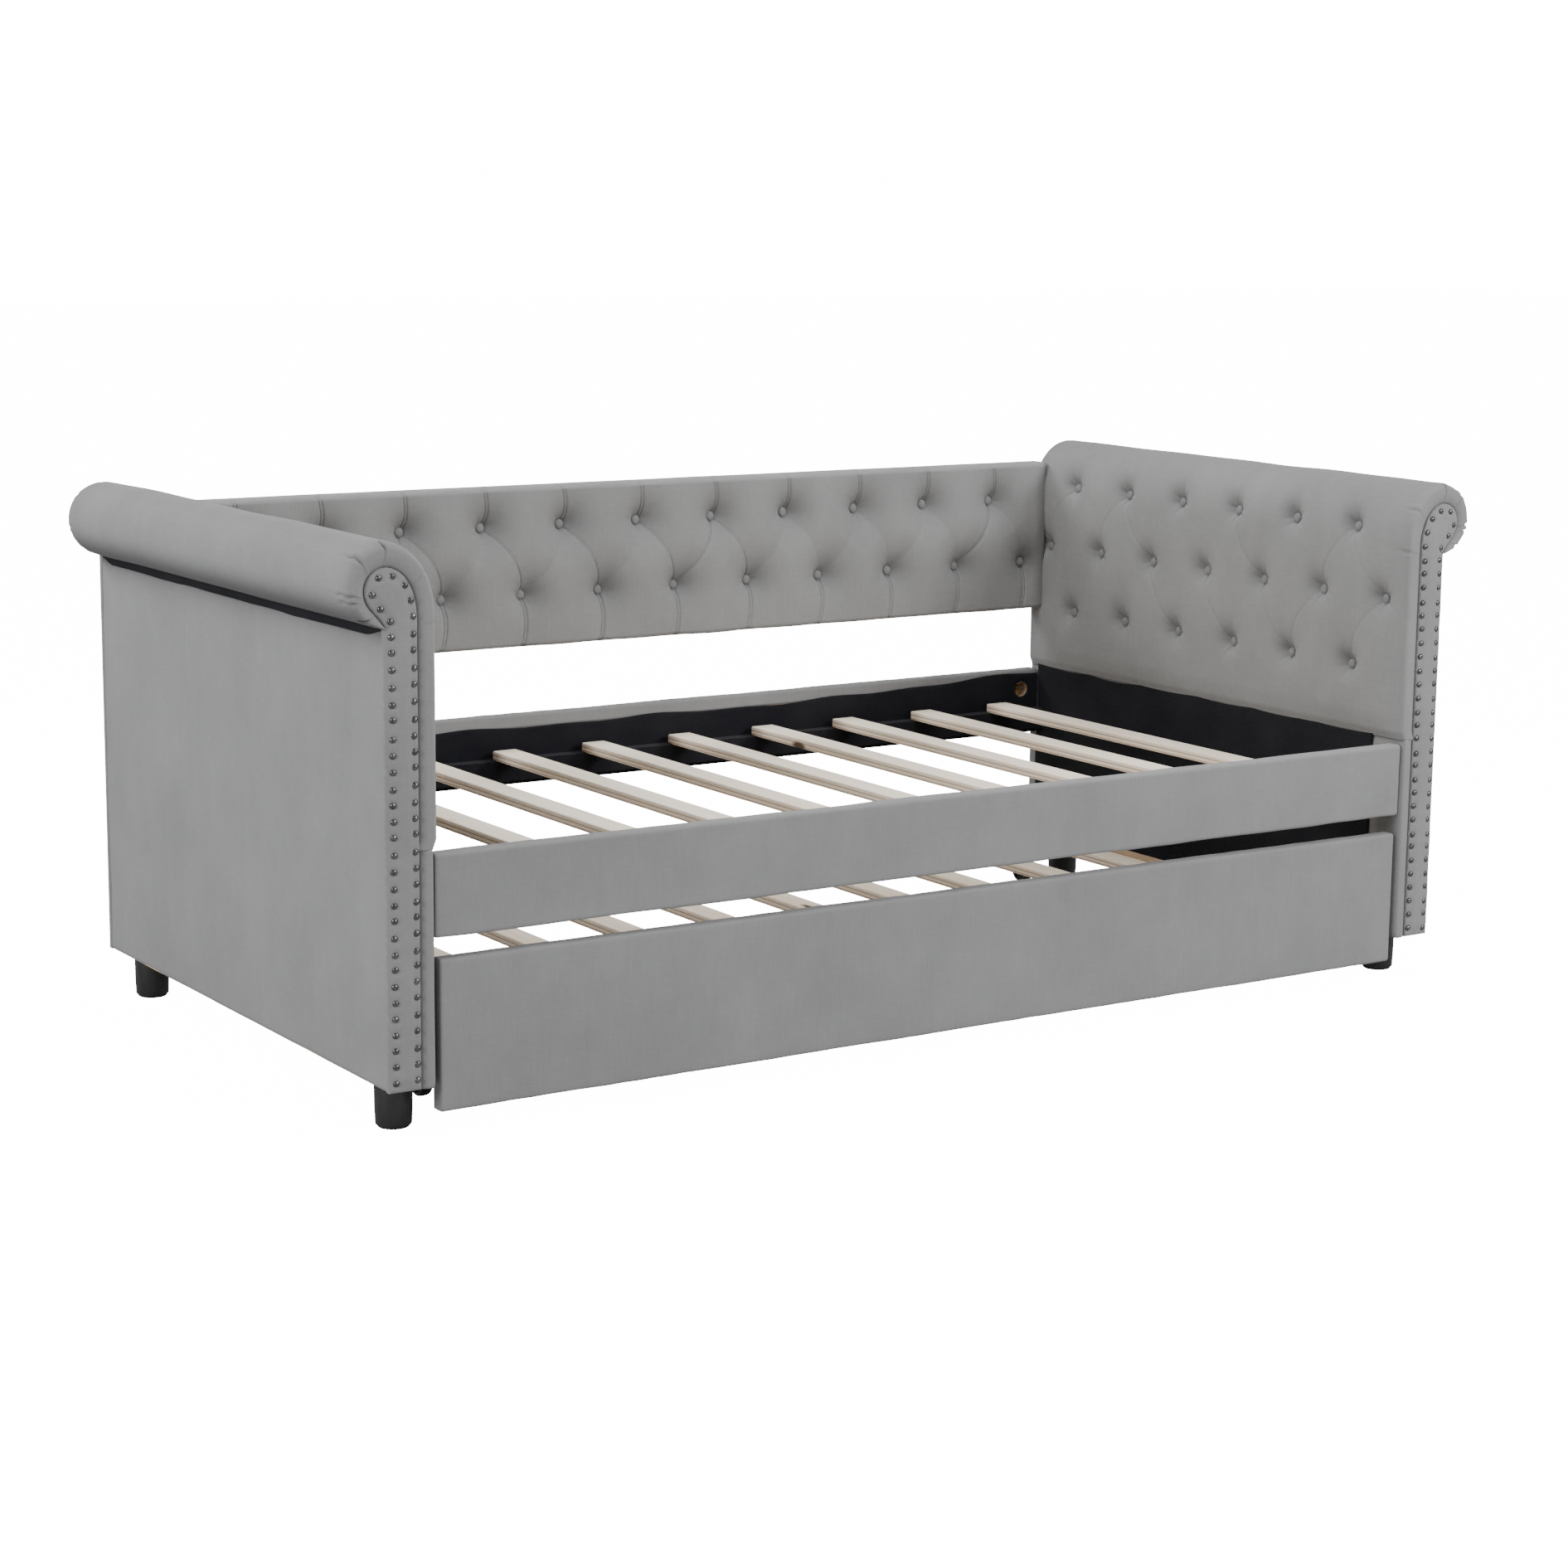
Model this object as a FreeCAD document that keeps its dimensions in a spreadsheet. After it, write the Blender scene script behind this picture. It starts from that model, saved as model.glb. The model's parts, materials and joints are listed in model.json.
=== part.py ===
import FreeCAD, Part
import math
import os
import re

import Sketcher

# Upholstered daybed with scrolled arms and a pull-out trundle on casters. Millimetres.
# +X runs along the length, -Y is the front, +Z is up. The origin is on the floor, under the
# middle of the daybed.

SIZES = {
    # overall
    "inner_half": 975,          # half the clear length between the arm pads
    "arm_thick": 87,            # outer face of an arm to the face of its pad
    "depth": 1124,              # front nail heads to the back cover
    # upholstery layers
    "cover": 3,                 # velvet over thin wadding
    "arm_pad": 27,              # tufted pad inside the arm
    "arm_border": 21,           # flat upholstery inside the arm, below the pad
    "lining": 1,                # black non-woven cloth
    "lining_inset": 78,         # front of an arm to its cloth
    "lining_edge": 2,           # foot and top of the flat upholstery to the cloth
    # arm scroll
    "scroll_height": 844,       # centre of the rolled top
    "scroll_radius": 64,
    "scroll_inset": 5,          # centre of the roll, inboard of the outer face
    "scroll_core": 30,          # radius of the wooden core in the roll
    "saddle_drop": 15,          # top of the side frame below the core's axis
    "pad_foot": 440,            # lower edge of the tufted pad
    "pad_shoulder": 800,        # where the pad starts to bend over the roll
    "pad_setback": 1,           # ends of the pad behind the facing and ahead of the rear cover
    # front facing of the arm
    "facing_width": 54,
    "facing_thick": 12,
    "head_height": 837,         # centre of the round head of the facing
    "head_radius": 34,
    "head_inset": 3,
    "facing_shoulder": 795,
    # decorative nails
    "nail_radius": 5,
    "nail_dome": 3,
    "nail_pitch": 25,
    "nail_margin": 11,          # nail line to the outer edge of the facing
    "nail_inner": 7,            # nail line to the inner edge of the facing
    "nail_start": 86,           # height of the lowest nails
    # tufting
    "button_radius": 9,
    "button_thick": 5,
    "button_gap": 1,            # clearance of the pocket round a button
    "arm_tuft": 14,             # depth of a pocket in an arm pad
    "arm_button_margin": 64,    # end buttons of an arm's full row to its front and back
    "arm_button_low": 568,
    "arm_button_mid": 697,
    "arm_button_high": 823,
    "back_tuft": 18,
    "back_button_margin": 56,   # end buttons of the full row to the arm pads
    "back_button_low": 664,
    "back_button_high": 793,
    # back panel
    "back_foot": 566,
    "back_top": 867,
    "back_pad": 32,
    "back_board": 21,
    # rails
    "rail_foot": 304,
    "rail_top": 435,
    "rail_board": 24,
    "rail_recess": 8,           # front rail behind the front nail heads
    "lining_top": 414,          # top of the black cloth on the back rail
    "ledger_width": 32,
    "ledger_height": 40,
    "ledger_gap": 4,            # end of a ledger to the arm
    # sleeping deck
    "deck_height": 373,
    "slat_width": 50,
    "slat_thick": 18,
    "slat_round": 3,
    "slat_margin": 111,         # middle of the end slats to the arm pads
    "slat_gap": 16,             # end of a slat to the rail lining
    # legs
    "leg_height": 75,
    "leg_radius": 30,
    "leg_foot": 27,
    "leg_inset": 45,            # leg axis inboard of the arm's outer face
    "leg_setback": 84,          # leg axis behind the front and ahead of the back
    # bolts
    "bolt_radius": 4,
    "bolt_reach": 50,           # length of a bolt in each of the two pieces that it joins
    "bolt_fit": 0.2,            # radial clearance of its hole
    "rail_bolt_height": 395,
    "access_radius": 18,
    "access_depth": 20,
    "nut_radius": 8,
    "nut_length": 14,
    "back_bolt_low": 620,
    "back_bolt_high": 740,
    # trundle
    "trundle_clear": 7,         # trundle panel to the arm lining, at each end
    "trundle_foot": 32,
    "trundle_top": 272,
    "trundle_board": 22,
    "trundle_setback": 60,      # trundle's rear rail ahead of the daybed's back
    "trundle_deck": 120,
    "trundle_rail_thick": 30,
    "wheel_top_gap": 39,        # wheel to the plate of its bracket
    "trundle_side_inset": 70,   # middle of a side rail inboard of the arm pad
    "trundle_ledger": 25,
    "trundle_lip": 2,           # rails stand this far above the slats
    "trundle_slat_gap": 2,      # end of a slat to the board or rail
    # casters
    "wheel_radius": 25,
    "wheel_width": 20,
    "wheel_edge": 3,
    "axle_radius": 4,
    "axle_fit": 0.05,
    "wheel_side_gap": 1.5,
    "bracket_thick": 3,
    "bracket_length": 46,
    "cheek_length": 18,
    "caster_front_inset": 180,  # caster axle behind the front panel
    "caster_back_inset": 34,    # caster axle ahead of the end of its side rail
}
ARM_BUTTONS = {"arm_button_low": 6, "arm_button_mid": 7, "arm_button_high": 6}
BACK_BUTTONS = {"back_button_low": 12, "back_button_high": 11}
SLATS = 10
ARM_ROW = max(ARM_BUTTONS.values())
BACK_ROW = max(BACK_BUTTONS.values())
OVERCUT = 1                     # how far a cutting tool stands out of what it cuts
QUARTER = 0.5523                # handle of a Bezier curve that follows a quarter ellipse
SIDES = {"left": -1, "right": 1}
ENDS = {"front": -1, "back": 1}

doc = FreeCAD.newDocument("Daybed")
sheet = doc.addObject("Spreadsheet::Sheet", "Sizes")
for row, (alias, number) in enumerate(SIZES.items(), start=1):
    sheet.set(f"A{row}", alias)
    sheet.set(f"B{row}", str(number))
    sheet.setAlias(f"B{row}", alias)
doc.recompute()

nodes = []

# Places that several pieces share, as formulas on the sheet
ARM_FACE = "(inner_half + arm_thick)"
ARM_PITCH = f"((depth - 2 * arm_button_margin) / {ARM_ROW - 1})"
BACK_PITCH = f"(2 * (inner_half - back_button_margin) / {BACK_ROW - 1})"
SLAT_PITCH = f"(2 * (inner_half - slat_margin) / {SLATS - 1})"
TRUNDLE_SIDE = "(inner_half - trundle_side_inset)"
TRUNDLE_RAIL_FOOT = "(2 * wheel_radius + wheel_top_gap + bracket_thick)"
FRAME_INNER = "(inner_half + arm_pad)"
ARM_BORDER = f"({FRAME_INNER} - arm_border)"
FRONT = "(-depth / 2 + nail_dome)"
BACK = "(depth / 2)"


# ---------------------------------------------------------------- helpers

def formula(text):
    """A formula on the sheet's aliases, written the way a document expression needs it."""
    return re.sub(r"[a-z]+(_[a-z]+)*", lambda word: "Sizes." + word.group(), str(text))


def size(alias):
    """A driving dimension as a number, for shapes that are set in code."""
    return float(sheet.get(alias))


def bind(thing, formulas):
    for path, text in formulas.items():
        thing.setExpression(path, formula(text))


def place(thing, corner):
    bind(thing, {f"Placement.Base.{axis}": text for axis, text in zip("xyz", corner)})


def node(thing, label):
    """Mark a document object as a finished sub-part with its own name."""
    thing.Label = label
    nodes.append(thing)
    return thing


def span_box(name, spans):
    """A box from its low and high formulas along X, Y and Z."""
    box = doc.addObject("Part::Box", name)
    for key, (low, high) in zip(("Length", "Width", "Height"), spans):
        bind(box, {key: f"({high}) - ({low})"})
    place(box, [low for low, high in spans])
    return box


def sided(side, near, far):
    """A span along X between two distances from the middle, on one side of it."""
    if side > 0:
        return (near, far)
    return (f"-({far})", f"-({near})")


def about(middle, width):
    return (f"({middle}) - ({width}) / 2", f"({middle}) + ({width}) / 2")


TURNS = {
    "x": FreeCAD.Rotation(FreeCAD.Vector(0, 1, 0), 90),
    "y": FreeCAD.Rotation(FreeCAD.Vector(1, 0, 0), -90),
    "z": FreeCAD.Rotation(),
}


def rod(name, axis, radius, length, start):
    """A cylinder that grows from its start point along +X, +Y or +Z."""
    cylinder = doc.addObject("Part::Cylinder", name)
    bind(cylinder, {"Radius": radius, "Height": length})
    cylinder.Placement.Rotation = TURNS[axis]
    place(cylinder, start)
    return cylinder


def group(name, things):
    compound = doc.addObject("Part::Compound", name)
    compound.Links = things
    return compound


def cut(name, base, tool):
    result = doc.addObject("Part::Cut", name)
    result.Base = base
    result.Tool = tool
    return result


def fuse(name, things):
    result = doc.addObject("Part::MultiFuse", name)
    result.Shapes = things
    return result


def set_shape(name, shape, start=0):
    """A shape made in code from the sheet's numbers, moved back along Y to its start."""
    feature = doc.addObject("Part::Feature", name)
    feature.Shape = shape
    feature.Placement = FreeCAD.Placement(FreeCAD.Vector(0, start, 0), FreeCAD.Rotation())
    return feature


def body_with_sketch(name, role, corners):
    """A body with one closed outline on one of its own origin planes."""
    body = doc.addObject("PartDesign::Body", name)
    sketch = body.newObject("Sketcher::SketchObject", name + "_outline")
    plane = next(item for item in body.Origin.OriginFeatures if item.Role == role)
    sketch.AttachmentSupport = [(plane, "")]
    sketch.MapMode = "FlatFace"
    rough = [FreeCAD.Vector(10 * math.cos(k), 10 * math.sin(k), 0) for k in range(len(corners))]
    for k, start in enumerate(rough):
        sketch.addGeometry(Part.LineSegment(start, rough[(k + 1) % len(rough)]), False)
    for k, corner in enumerate(corners):
        sketch.addConstraint(Sketcher.Constraint("Coincident", k, 2, (k + 1) % len(corners), 1))
        for kind, text, axis in (("DistanceX", corner[0], -2), ("DistanceY", corner[1], -1)):
            if text == "0":
                sketch.addConstraint(Sketcher.Constraint("PointOnObject", k, 1, axis))
                continue
            index = sketch.addConstraint(Sketcher.Constraint(kind, -1, 1, k, 1, 10.0))
            bind(sketch, {f"Constraints[{index}]": text})
    return body, sketch


def turned_body(name, corners):
    """A body of revolution about its own Z axis, from (radius, height) corners."""
    body, sketch = body_with_sketch(name, "XZ_Plane", corners)
    turned = body.newObject("PartDesign::Revolution", name + "_turned")
    turned.Profile = sketch
    turned.ReferenceAxis = (sketch, ["V_Axis"])
    turned.Angle = 360
    sketch.Visibility = False
    return body


def slat(name, corner, length):
    """A planed slat along Y with rounded long edges and ends."""
    outline = (("0", "0"), ("slat_width", "0"), ("slat_width", length), ("0", length))
    body, sketch = body_with_sketch(name, "XY_Plane", outline)
    pad = body.newObject("PartDesign::Pad", name + "_board")
    pad.Profile = sketch
    bind(pad, {"Length": "slat_thick"})
    doc.recompute()
    rounded = body.newObject("PartDesign::Fillet", name + "_rounded")
    rounded.Base = (pad, [f"Edge{k + 1}" for k in range(len(pad.Shape.Edges))])
    bind(rounded, {"Radius": "slat_round"})
    place(body, corner)
    return body


def wrap(name, outer, inner):
    """Fabric over a board: an outer block less the board inside it."""
    return cut(name, span_box(name + "_outside", outer), span_box(name + "_inside", inner))


# ---------------------------------------------------------------- shared outlines

def scroll_face(side, width, foot, inset, height, radius, shoulder):
    """The front outline of a scrolled arm layer: straight inside, bent over, round outside."""
    outer = size("inner_half") + size("arm_thick")

    def at(inboard, up):
        return FreeCAD.Vector(side * (outer - inboard), 0, up)

    top = height + radius
    neck = height - math.sqrt(radius ** 2 - inset ** 2)
    bend = Part.BezierCurve()
    bend.setPoles([
        at(width, shoulder),
        at(width, shoulder + QUARTER * (top - shoulder)),
        at(inset + QUARTER * (width - inset), top),
        at(inset, top),
    ])
    edges = [
        Part.makeLine(at(0, foot), at(width, foot)),
        Part.makeLine(at(width, foot), at(width, shoulder)),
        bend.toShape(),
        Part.Arc(at(inset, top), at(inset - radius, height), at(0, neck)).toShape(),
        Part.makeLine(at(0, neck), at(0, foot)),
    ]
    return Part.Face(Part.Wire(edges))


def extruded(name, face, start, end):
    """A face in the XZ plane carried along Y from its start to its end."""
    return set_shape(name, face.extrude(FreeCAD.Vector(0, end - start, 0)), start)


def row_steps(count):
    """Places along a row, in pitches from its middle."""
    return [k - (count - 1) / 2 for k in range(count)]


# ---------------------------------------------------------------- bolts and their holes

RAIL_MIDDLE = {
    "front": "(-depth / 2 + rail_recess + cover + rail_board / 2)",
    "back": "(depth / 2 - cover - rail_board / 2)",
}
BACK_BOARD_MIDDLE = "(depth / 2 - cover - back_board / 2)"


def bolt(name, side, joint, across, height, between="0", radius="bolt_radius"):
    """A bolt along X through a joint, with the thickness of what lies between the two boards."""
    low, high = sided(side, f"{joint} - bolt_reach", f"{joint} + bolt_reach + {between}")
    return rod(name, "x", radius, f"({high}) - ({low})", (low, across, height))


def bolt_hole(name, side, joint, across, height, between="0"):
    return bolt(name, side, joint, across, height, between, "bolt_radius + bolt_fit")


def side_holes(owner, side):
    """All the bolt holes on one side, as one tool for the piece that they pass through."""
    holes = []
    for end, middle in RAIL_MIDDLE.items():
        name = f"{owner}_{end}_hole"
        holes.append(bolt_hole(name, side, ARM_BORDER, middle, "rail_bolt_height", "arm_border"))
    for level in ("back_bolt_low", "back_bolt_high"):
        name = f"{owner}_{level}_hole"
        holes.append(bolt_hole(name, side, "inner_half", BACK_BOARD_MIDDLE, level, "arm_pad"))
    return group(owner + "_holes", holes)


# ---------------------------------------------------------------- arms

def leg_spot(side, sign):
    across = f"{side} * ({ARM_FACE} - leg_inset)"
    along = f"{sign} * (depth / 2 - leg_setback)"
    return across, along


def arm(word, side):
    frame_front = f"{FRONT} + facing_thick"

    # wooden side frame, with holes for the rail, back and leg bolts
    blank = span_box(f"{word}_frame_blank", (
        sided(side, FRAME_INNER, f"{ARM_FACE} - cover"),
        (frame_front, f"{BACK} - cover"),
        ("leg_height", "scroll_height - saddle_drop")))
    core_start = (f"{side} * ({ARM_FACE} - scroll_inset)", frame_front, "scroll_height")
    core_length = f"({BACK} - cover) - ({frame_front})"
    saddle = rod(f"{word}_saddle", "y", "scroll_core", core_length, core_start)
    studs = []
    for end, sign in ENDS.items():
        across, along = leg_spot(side, sign)
        studs.append(rod(f"{word}_{end}_stud_hole", "z", "bolt_radius + bolt_fit", "bolt_reach",
                         (across, along, "leg_height")))
    holes = group(f"{word}_frame_tools", [side_holes(f"{word}_frame", side), saddle] + studs)
    node(cut(f"arm_{word}_frame", blank, holes), f"arm_{word}_frame")

    # round wooden core of the roll, in the saddle along the frame's top
    node(rod(f"arm_{word}_roll_core", "y", "scroll_core", core_length, core_start), f"arm_{word}_roll_core")

    # velvet over the outer side and the rear edge
    outside = span_box(f"{word}_cover_outside", (
        sided(side, FRAME_INNER, ARM_FACE),
        (frame_front, BACK),
        ("leg_height", "scroll_height - scroll_radius")))
    inside = span_box(f"{word}_cover_inside", (
        sided(side, f"{FRAME_INNER} - {OVERCUT}", f"{ARM_FACE} - cover"),
        (f"{frame_front} - {OVERCUT}", f"{BACK} - cover"),
        (f"leg_height - {OVERCUT}", "scroll_height")))
    node(cut(f"arm_{word}_outer_cover", outside, inside), f"arm_{word}_outer_cover")

    # front facing with its round head
    front = -size("depth") / 2 + size("nail_dome")
    facing_back = front + size("facing_thick")
    facing_face = scroll_face(side, size("facing_width"), size("leg_height"), size("head_inset"),
                              size("head_height"), size("head_radius"), size("facing_shoulder"))
    node(extruded(f"arm_{word}_facing", facing_face, front, facing_back), f"arm_{word}_facing")

    # tufted pad that rises inside the arm and wraps the roll, with its buttons in their pockets
    pad_front = front + size("pad_setback")
    pad_back = size("depth") / 2 - size("pad_setback")
    pad_face = scroll_face(side, size("arm_thick"), size("pad_foot"), size("scroll_inset"),
                           size("scroll_height"), size("scroll_radius"), size("pad_shoulder"))
    raw = extruded(f"{word}_pad_raw", pad_face, pad_front, pad_back)
    behind = span_box(f"{word}_pad_behind", (
        sided(side, FRAME_INNER, ARM_FACE),
        (frame_front, BACK),
        (f"pad_foot - {OVERCUT}", "scroll_height - scroll_radius")))
    upper = span_box(f"{word}_pad_frame", (
        sided(side, FRAME_INNER, f"{ARM_FACE} - cover"),
        (frame_front, f"{BACK} - cover"),
        (f"pad_foot - {OVERCUT}", "scroll_height - saddle_drop")))
    core = rod(f"{word}_pad_core", "y", "scroll_core", core_length, core_start)
    facing_space = extruded(f"{word}_facing_space", facing_face, front, facing_back)
    pockets = []
    buttons = []
    low, high = sided(side, f"inner_half - {OVERCUT}", "inner_half + arm_tuft")
    seat = sided(side, "inner_half + arm_tuft - button_thick", "inner_half + arm_tuft")[0]
    for level, count in ARM_BUTTONS.items():
        for step in row_steps(count):
            along = f"{ARM_PITCH} * {step}"
            pockets.append(rod(f"{word}_pocket_{len(pockets)}", "x", "button_radius + button_gap",
                               f"({high}) - ({low})", (low, along, level)))
            buttons.append(rod(f"{word}_button_{len(buttons)}", "x", "button_radius", "button_thick",
                               (seat, along, level)))
    tools = group(f"{word}_pad_tools", [behind, upper, core, facing_space,
                                        side_holes(f"{word}_pad", side)] + pockets)
    node(cut(f"arm_{word}_pad", raw, tools), f"arm_{word}_pad")
    node(group(f"arm_{word}_buttons", buttons), f"arm_{word}_buttons")

    # flat upholstery below the pad, and its black lining
    border = span_box(f"{word}_border_blank", (
        sided(side, ARM_BORDER, FRAME_INNER),
        (FRONT, BACK),
        ("leg_height", "pad_foot")))
    border_holes = side_holes(f"{word}_border", side)
    node(cut(f"arm_{word}_inner_cover", border, border_holes), f"arm_{word}_inner_cover")
    node(span_box(f"arm_{word}_lining", (
        sided(side, f"{ARM_BORDER} - lining", ARM_BORDER),
        (f"{FRONT} + lining_inset", f"{BACK} - cover - rail_board - lining"),
        ("leg_height + lining_edge", "pad_foot - lining_edge"))), f"arm_{word}_lining")

    node(set_shape(f"arm_{word}_nails", nails(side)), f"arm_{word}_nails")


def dome(radius, height):
    """A domed nail head, flat side at the origin, rising along +Z."""
    centre = FreeCAD.Vector(0, 0, 0)
    edge = FreeCAD.Vector(radius, 0, 0)
    crown = FreeCAD.Vector(0, 0, height)
    ball = (radius ** 2 + height ** 2) / (2 * height)
    half = 0.5 * math.asin(radius / ball)
    middle = FreeCAD.Vector(ball * math.sin(half), 0, height - ball * (1 - math.cos(half)))
    edges = [
        Part.makeLine(centre, edge),
        Part.Arc(edge, middle, crown).toShape(),
        Part.makeLine(crown, centre),
    ]
    return Part.Face(Part.Wire(edges)).revolve(centre, FreeCAD.Vector(0, 0, 1), 360)


def placed(shape, start, direction):
    copy = shape.copy()
    copy.Placement = FreeCAD.Placement(start, FreeCAD.Rotation(FreeCAD.Vector(0, 0, 1), direction))
    return copy


def nails(side):
    """Domed nails along both edges of a facing and round its head."""
    outer = size("inner_half") + size("arm_thick")
    front = -size("depth") / 2 + size("nail_dome")
    line_in = size("facing_width") - size("nail_inner")
    ring = size("head_radius") - size("nail_margin")
    inset = size("head_inset")
    height = size("head_height")

    def at(inboard, up):
        return FreeCAD.Vector(side * (outer - inboard), front, up)

    join = height - math.sqrt(ring ** 2 - (size("nail_margin") - inset) ** 2)
    shoulder = size("facing_shoulder")
    halfway = math.sqrt(0.5)
    bend = at(inset + halfway * (line_in - inset), shoulder + halfway * (height + ring - shoulder))
    path = Part.Wire([
        Part.makeLine(at(size("nail_margin"), size("nail_start")), at(size("nail_margin"), join)),
        Part.Arc(at(size("nail_margin"), join), at(inset - ring, height), at(inset, height + ring)).toShape(),
        Part.Arc(at(inset, height + ring), bend, at(line_in, shoulder)).toShape(),
        Part.makeLine(at(line_in, shoulder), at(line_in, size("nail_start"))),
    ])
    head = dome(size("nail_radius"), size("nail_dome"))
    spots = path.discretize(Number=round(path.Length / size("nail_pitch")) + 1)
    return Part.makeCompound([placed(head, spot, FreeCAD.Vector(0, -1, 0)) for spot in spots])


for word, side in SIDES.items():
    arm(word, side)


# ---------------------------------------------------------------- legs

for word, side in SIDES.items():
    for end, sign in ENDS.items():
        across, along = leg_spot(side, sign)
        name = f"leg_{end}_{word}"
        leg = turned_body(name, (
            ("0", "0"), ("leg_foot", "0"), ("leg_radius", "leg_height"),
            ("bolt_radius + bolt_fit", "leg_height"), ("bolt_radius + bolt_fit", "leg_height - bolt_reach"),
            ("0", "leg_height - bolt_reach")))
        place(leg, (across, along, "0"))
        node(leg, name)

studs = []
for word, side in SIDES.items():
    for end, sign in ENDS.items():
        across, along = leg_spot(side, sign)
        studs.append(rod(f"stud_{end}_{word}", "z", "bolt_radius", "2 * bolt_reach",
                         (across, along, "leg_height - bolt_reach")))
node(group("leg_studs", studs), "leg_studs")


# ---------------------------------------------------------------- back

back_span = ("-inner_half", "inner_half")
board_y = (f"{BACK} - cover - back_board", f"{BACK} - cover")
board_z = ("back_foot + cover", "back_top - cover")
board_blank = span_box("back_board_blank", (back_span, board_y, board_z))
board_holes = []
for word, side in SIDES.items():
    for level in ("back_bolt_low", "back_bolt_high"):
        board_holes.append(bolt_hole(f"back_{word}_{level}", side, "inner_half", BACK_BOARD_MIDDLE, level))
node(cut("back_board", board_blank, group("back_board_tools", board_holes)), "back_board")

pad_low = f"{BACK} - cover - back_board - back_pad"
pad_blank = span_box("back_pad_blank", (
    back_span, (pad_low, f"{BACK} - cover - back_board"), ("back_foot", "back_top")))
pockets = []
buttons = []
for level, count in BACK_BUTTONS.items():
    for step in row_steps(count):
        across = f"{BACK_PITCH} * {step}"
        pockets.append(rod(f"back_pocket_{len(pockets)}", "y", "button_radius + button_gap",
                           f"back_tuft + {OVERCUT}", (across, f"{pad_low} - {OVERCUT}", level)))
        buttons.append(rod(f"back_button_{len(buttons)}", "y", "button_radius", "button_thick",
                           (across, f"{pad_low} + back_tuft - button_thick", level)))
node(cut("back_pad", pad_blank, group("back_pad_tools", pockets)), "back_pad")
node(group("back_buttons", buttons), "back_buttons")
node(wrap("back_rear_cover",
          (back_span, (board_y[0], BACK), ("back_foot", "back_top")),
          ((f"-inner_half - {OVERCUT}", f"inner_half + {OVERCUT}"), (f"{board_y[0]} - {OVERCUT}", board_y[1]),
           board_z)), "back_rear_cover")

bolts = []
for word, side in SIDES.items():
    for level in ("back_bolt_low", "back_bolt_high"):
        name = f"back_{word}_{level}_bolt"
        bolts.append(bolt(name, side, "inner_half", BACK_BOARD_MIDDLE, level, "arm_pad"))
node(group("back_bolts", bolts), "back_bolts")


# ---------------------------------------------------------------- rails

# faces of each rail from the outside in; only the back rail has black cloth on its board
RAIL_FACES = {
    "front": {
        "outside": "(-depth / 2 + rail_recess)",
        "board": "(-depth / 2 + rail_recess + cover)",
        "inside": "(-depth / 2 + rail_recess + cover + rail_board)",
        "ledger": "(-depth / 2 + rail_recess + cover + rail_board)",
        "deck": "(-depth / 2 + rail_recess + cover + rail_board + ledger_width)",
    },
    "back": {
        "outside": "(depth / 2)",
        "board": "(depth / 2 - cover)",
        "inside": "(depth / 2 - cover - rail_board)",
        "ledger": "(depth / 2 - cover - rail_board - lining)",
        "deck": "(depth / 2 - cover - rail_board - lining - ledger_width)",
    },
}
RAIL_ENDS = (f"-{ARM_BORDER}", ARM_BORDER)
NUT_SPOT = f"({ARM_BORDER} - bolt_reach + nut_length / 2)"


def rail_span(end, outer, inner):
    """The Y span between two faces of a rail, low value first."""
    faces = (RAIL_FACES[end][outer], RAIL_FACES[end][inner])
    return faces if end == "front" else faces[::-1]


def grown(span, low, high):
    return (f"{span[0]} - {low}", f"{span[1]} + {high}")


def access(name, side, start, depth):
    """A round hole along Y that reaches a rail's nut from inside the daybed."""
    return rod(name, "y", "access_radius", depth, (f"{side} * {NUT_SPOT}", start, "rail_bolt_height"))


def rail(end):
    board = rail_span(end, "board", "inside")
    height = ("rail_foot + cover", "rail_top - cover")
    start = {"front": f"{board[1]} - access_depth", "back": board[0]}[end]
    tools = []
    for word, side in SIDES.items():
        tools.append(bolt_hole(f"{end}_rail_{word}_hole", side, ARM_BORDER, RAIL_MIDDLE[end],
                               "rail_bolt_height"))
        tools.append(access(f"{end}_rail_{word}_access", side, start, "access_depth"))
    blank = span_box(f"{end}_rail_blank", (RAIL_ENDS, board, height))
    node(cut(f"rail_{end}_board", blank, group(f"{end}_rail_tools", tools)), f"rail_{end}_board")

    inside = grown(board, 0, OVERCUT) if end == "front" else grown(board, OVERCUT, 0)
    node(wrap(f"rail_{end}_cover",
              (RAIL_ENDS, rail_span(end, "outside", "inside"), ("rail_foot", "rail_top")),
              (grown(RAIL_ENDS, OVERCUT, OVERCUT), inside, height)), f"rail_{end}_cover")

    node(span_box(f"rail_{end}_ledger", (
        (f"-{ARM_BORDER} + ledger_gap", f"{ARM_BORDER} - ledger_gap"), rail_span(end, "ledger", "deck"),
        ("deck_height - slat_thick - ledger_height", "deck_height - slat_thick"))), f"rail_{end}_ledger")


for end in ENDS:
    rail(end)

cloth = rail_span("back", "inside", "ledger")
cloth_blank = span_box("back_lining_blank", (
    (f"-{ARM_BORDER} + lining", f"{ARM_BORDER} - lining"), cloth, ("rail_foot", "lining_top")))
windows = []
for word, side in SIDES.items():
    name = f"lining_{word}_window"
    windows.append(access(name, side, f"{cloth[0]} - {OVERCUT}", f"lining + 2 * {OVERCUT}"))
node(cut("rail_back_lining", cloth_blank, group("back_lining_tools", windows)), "rail_back_lining")

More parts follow.
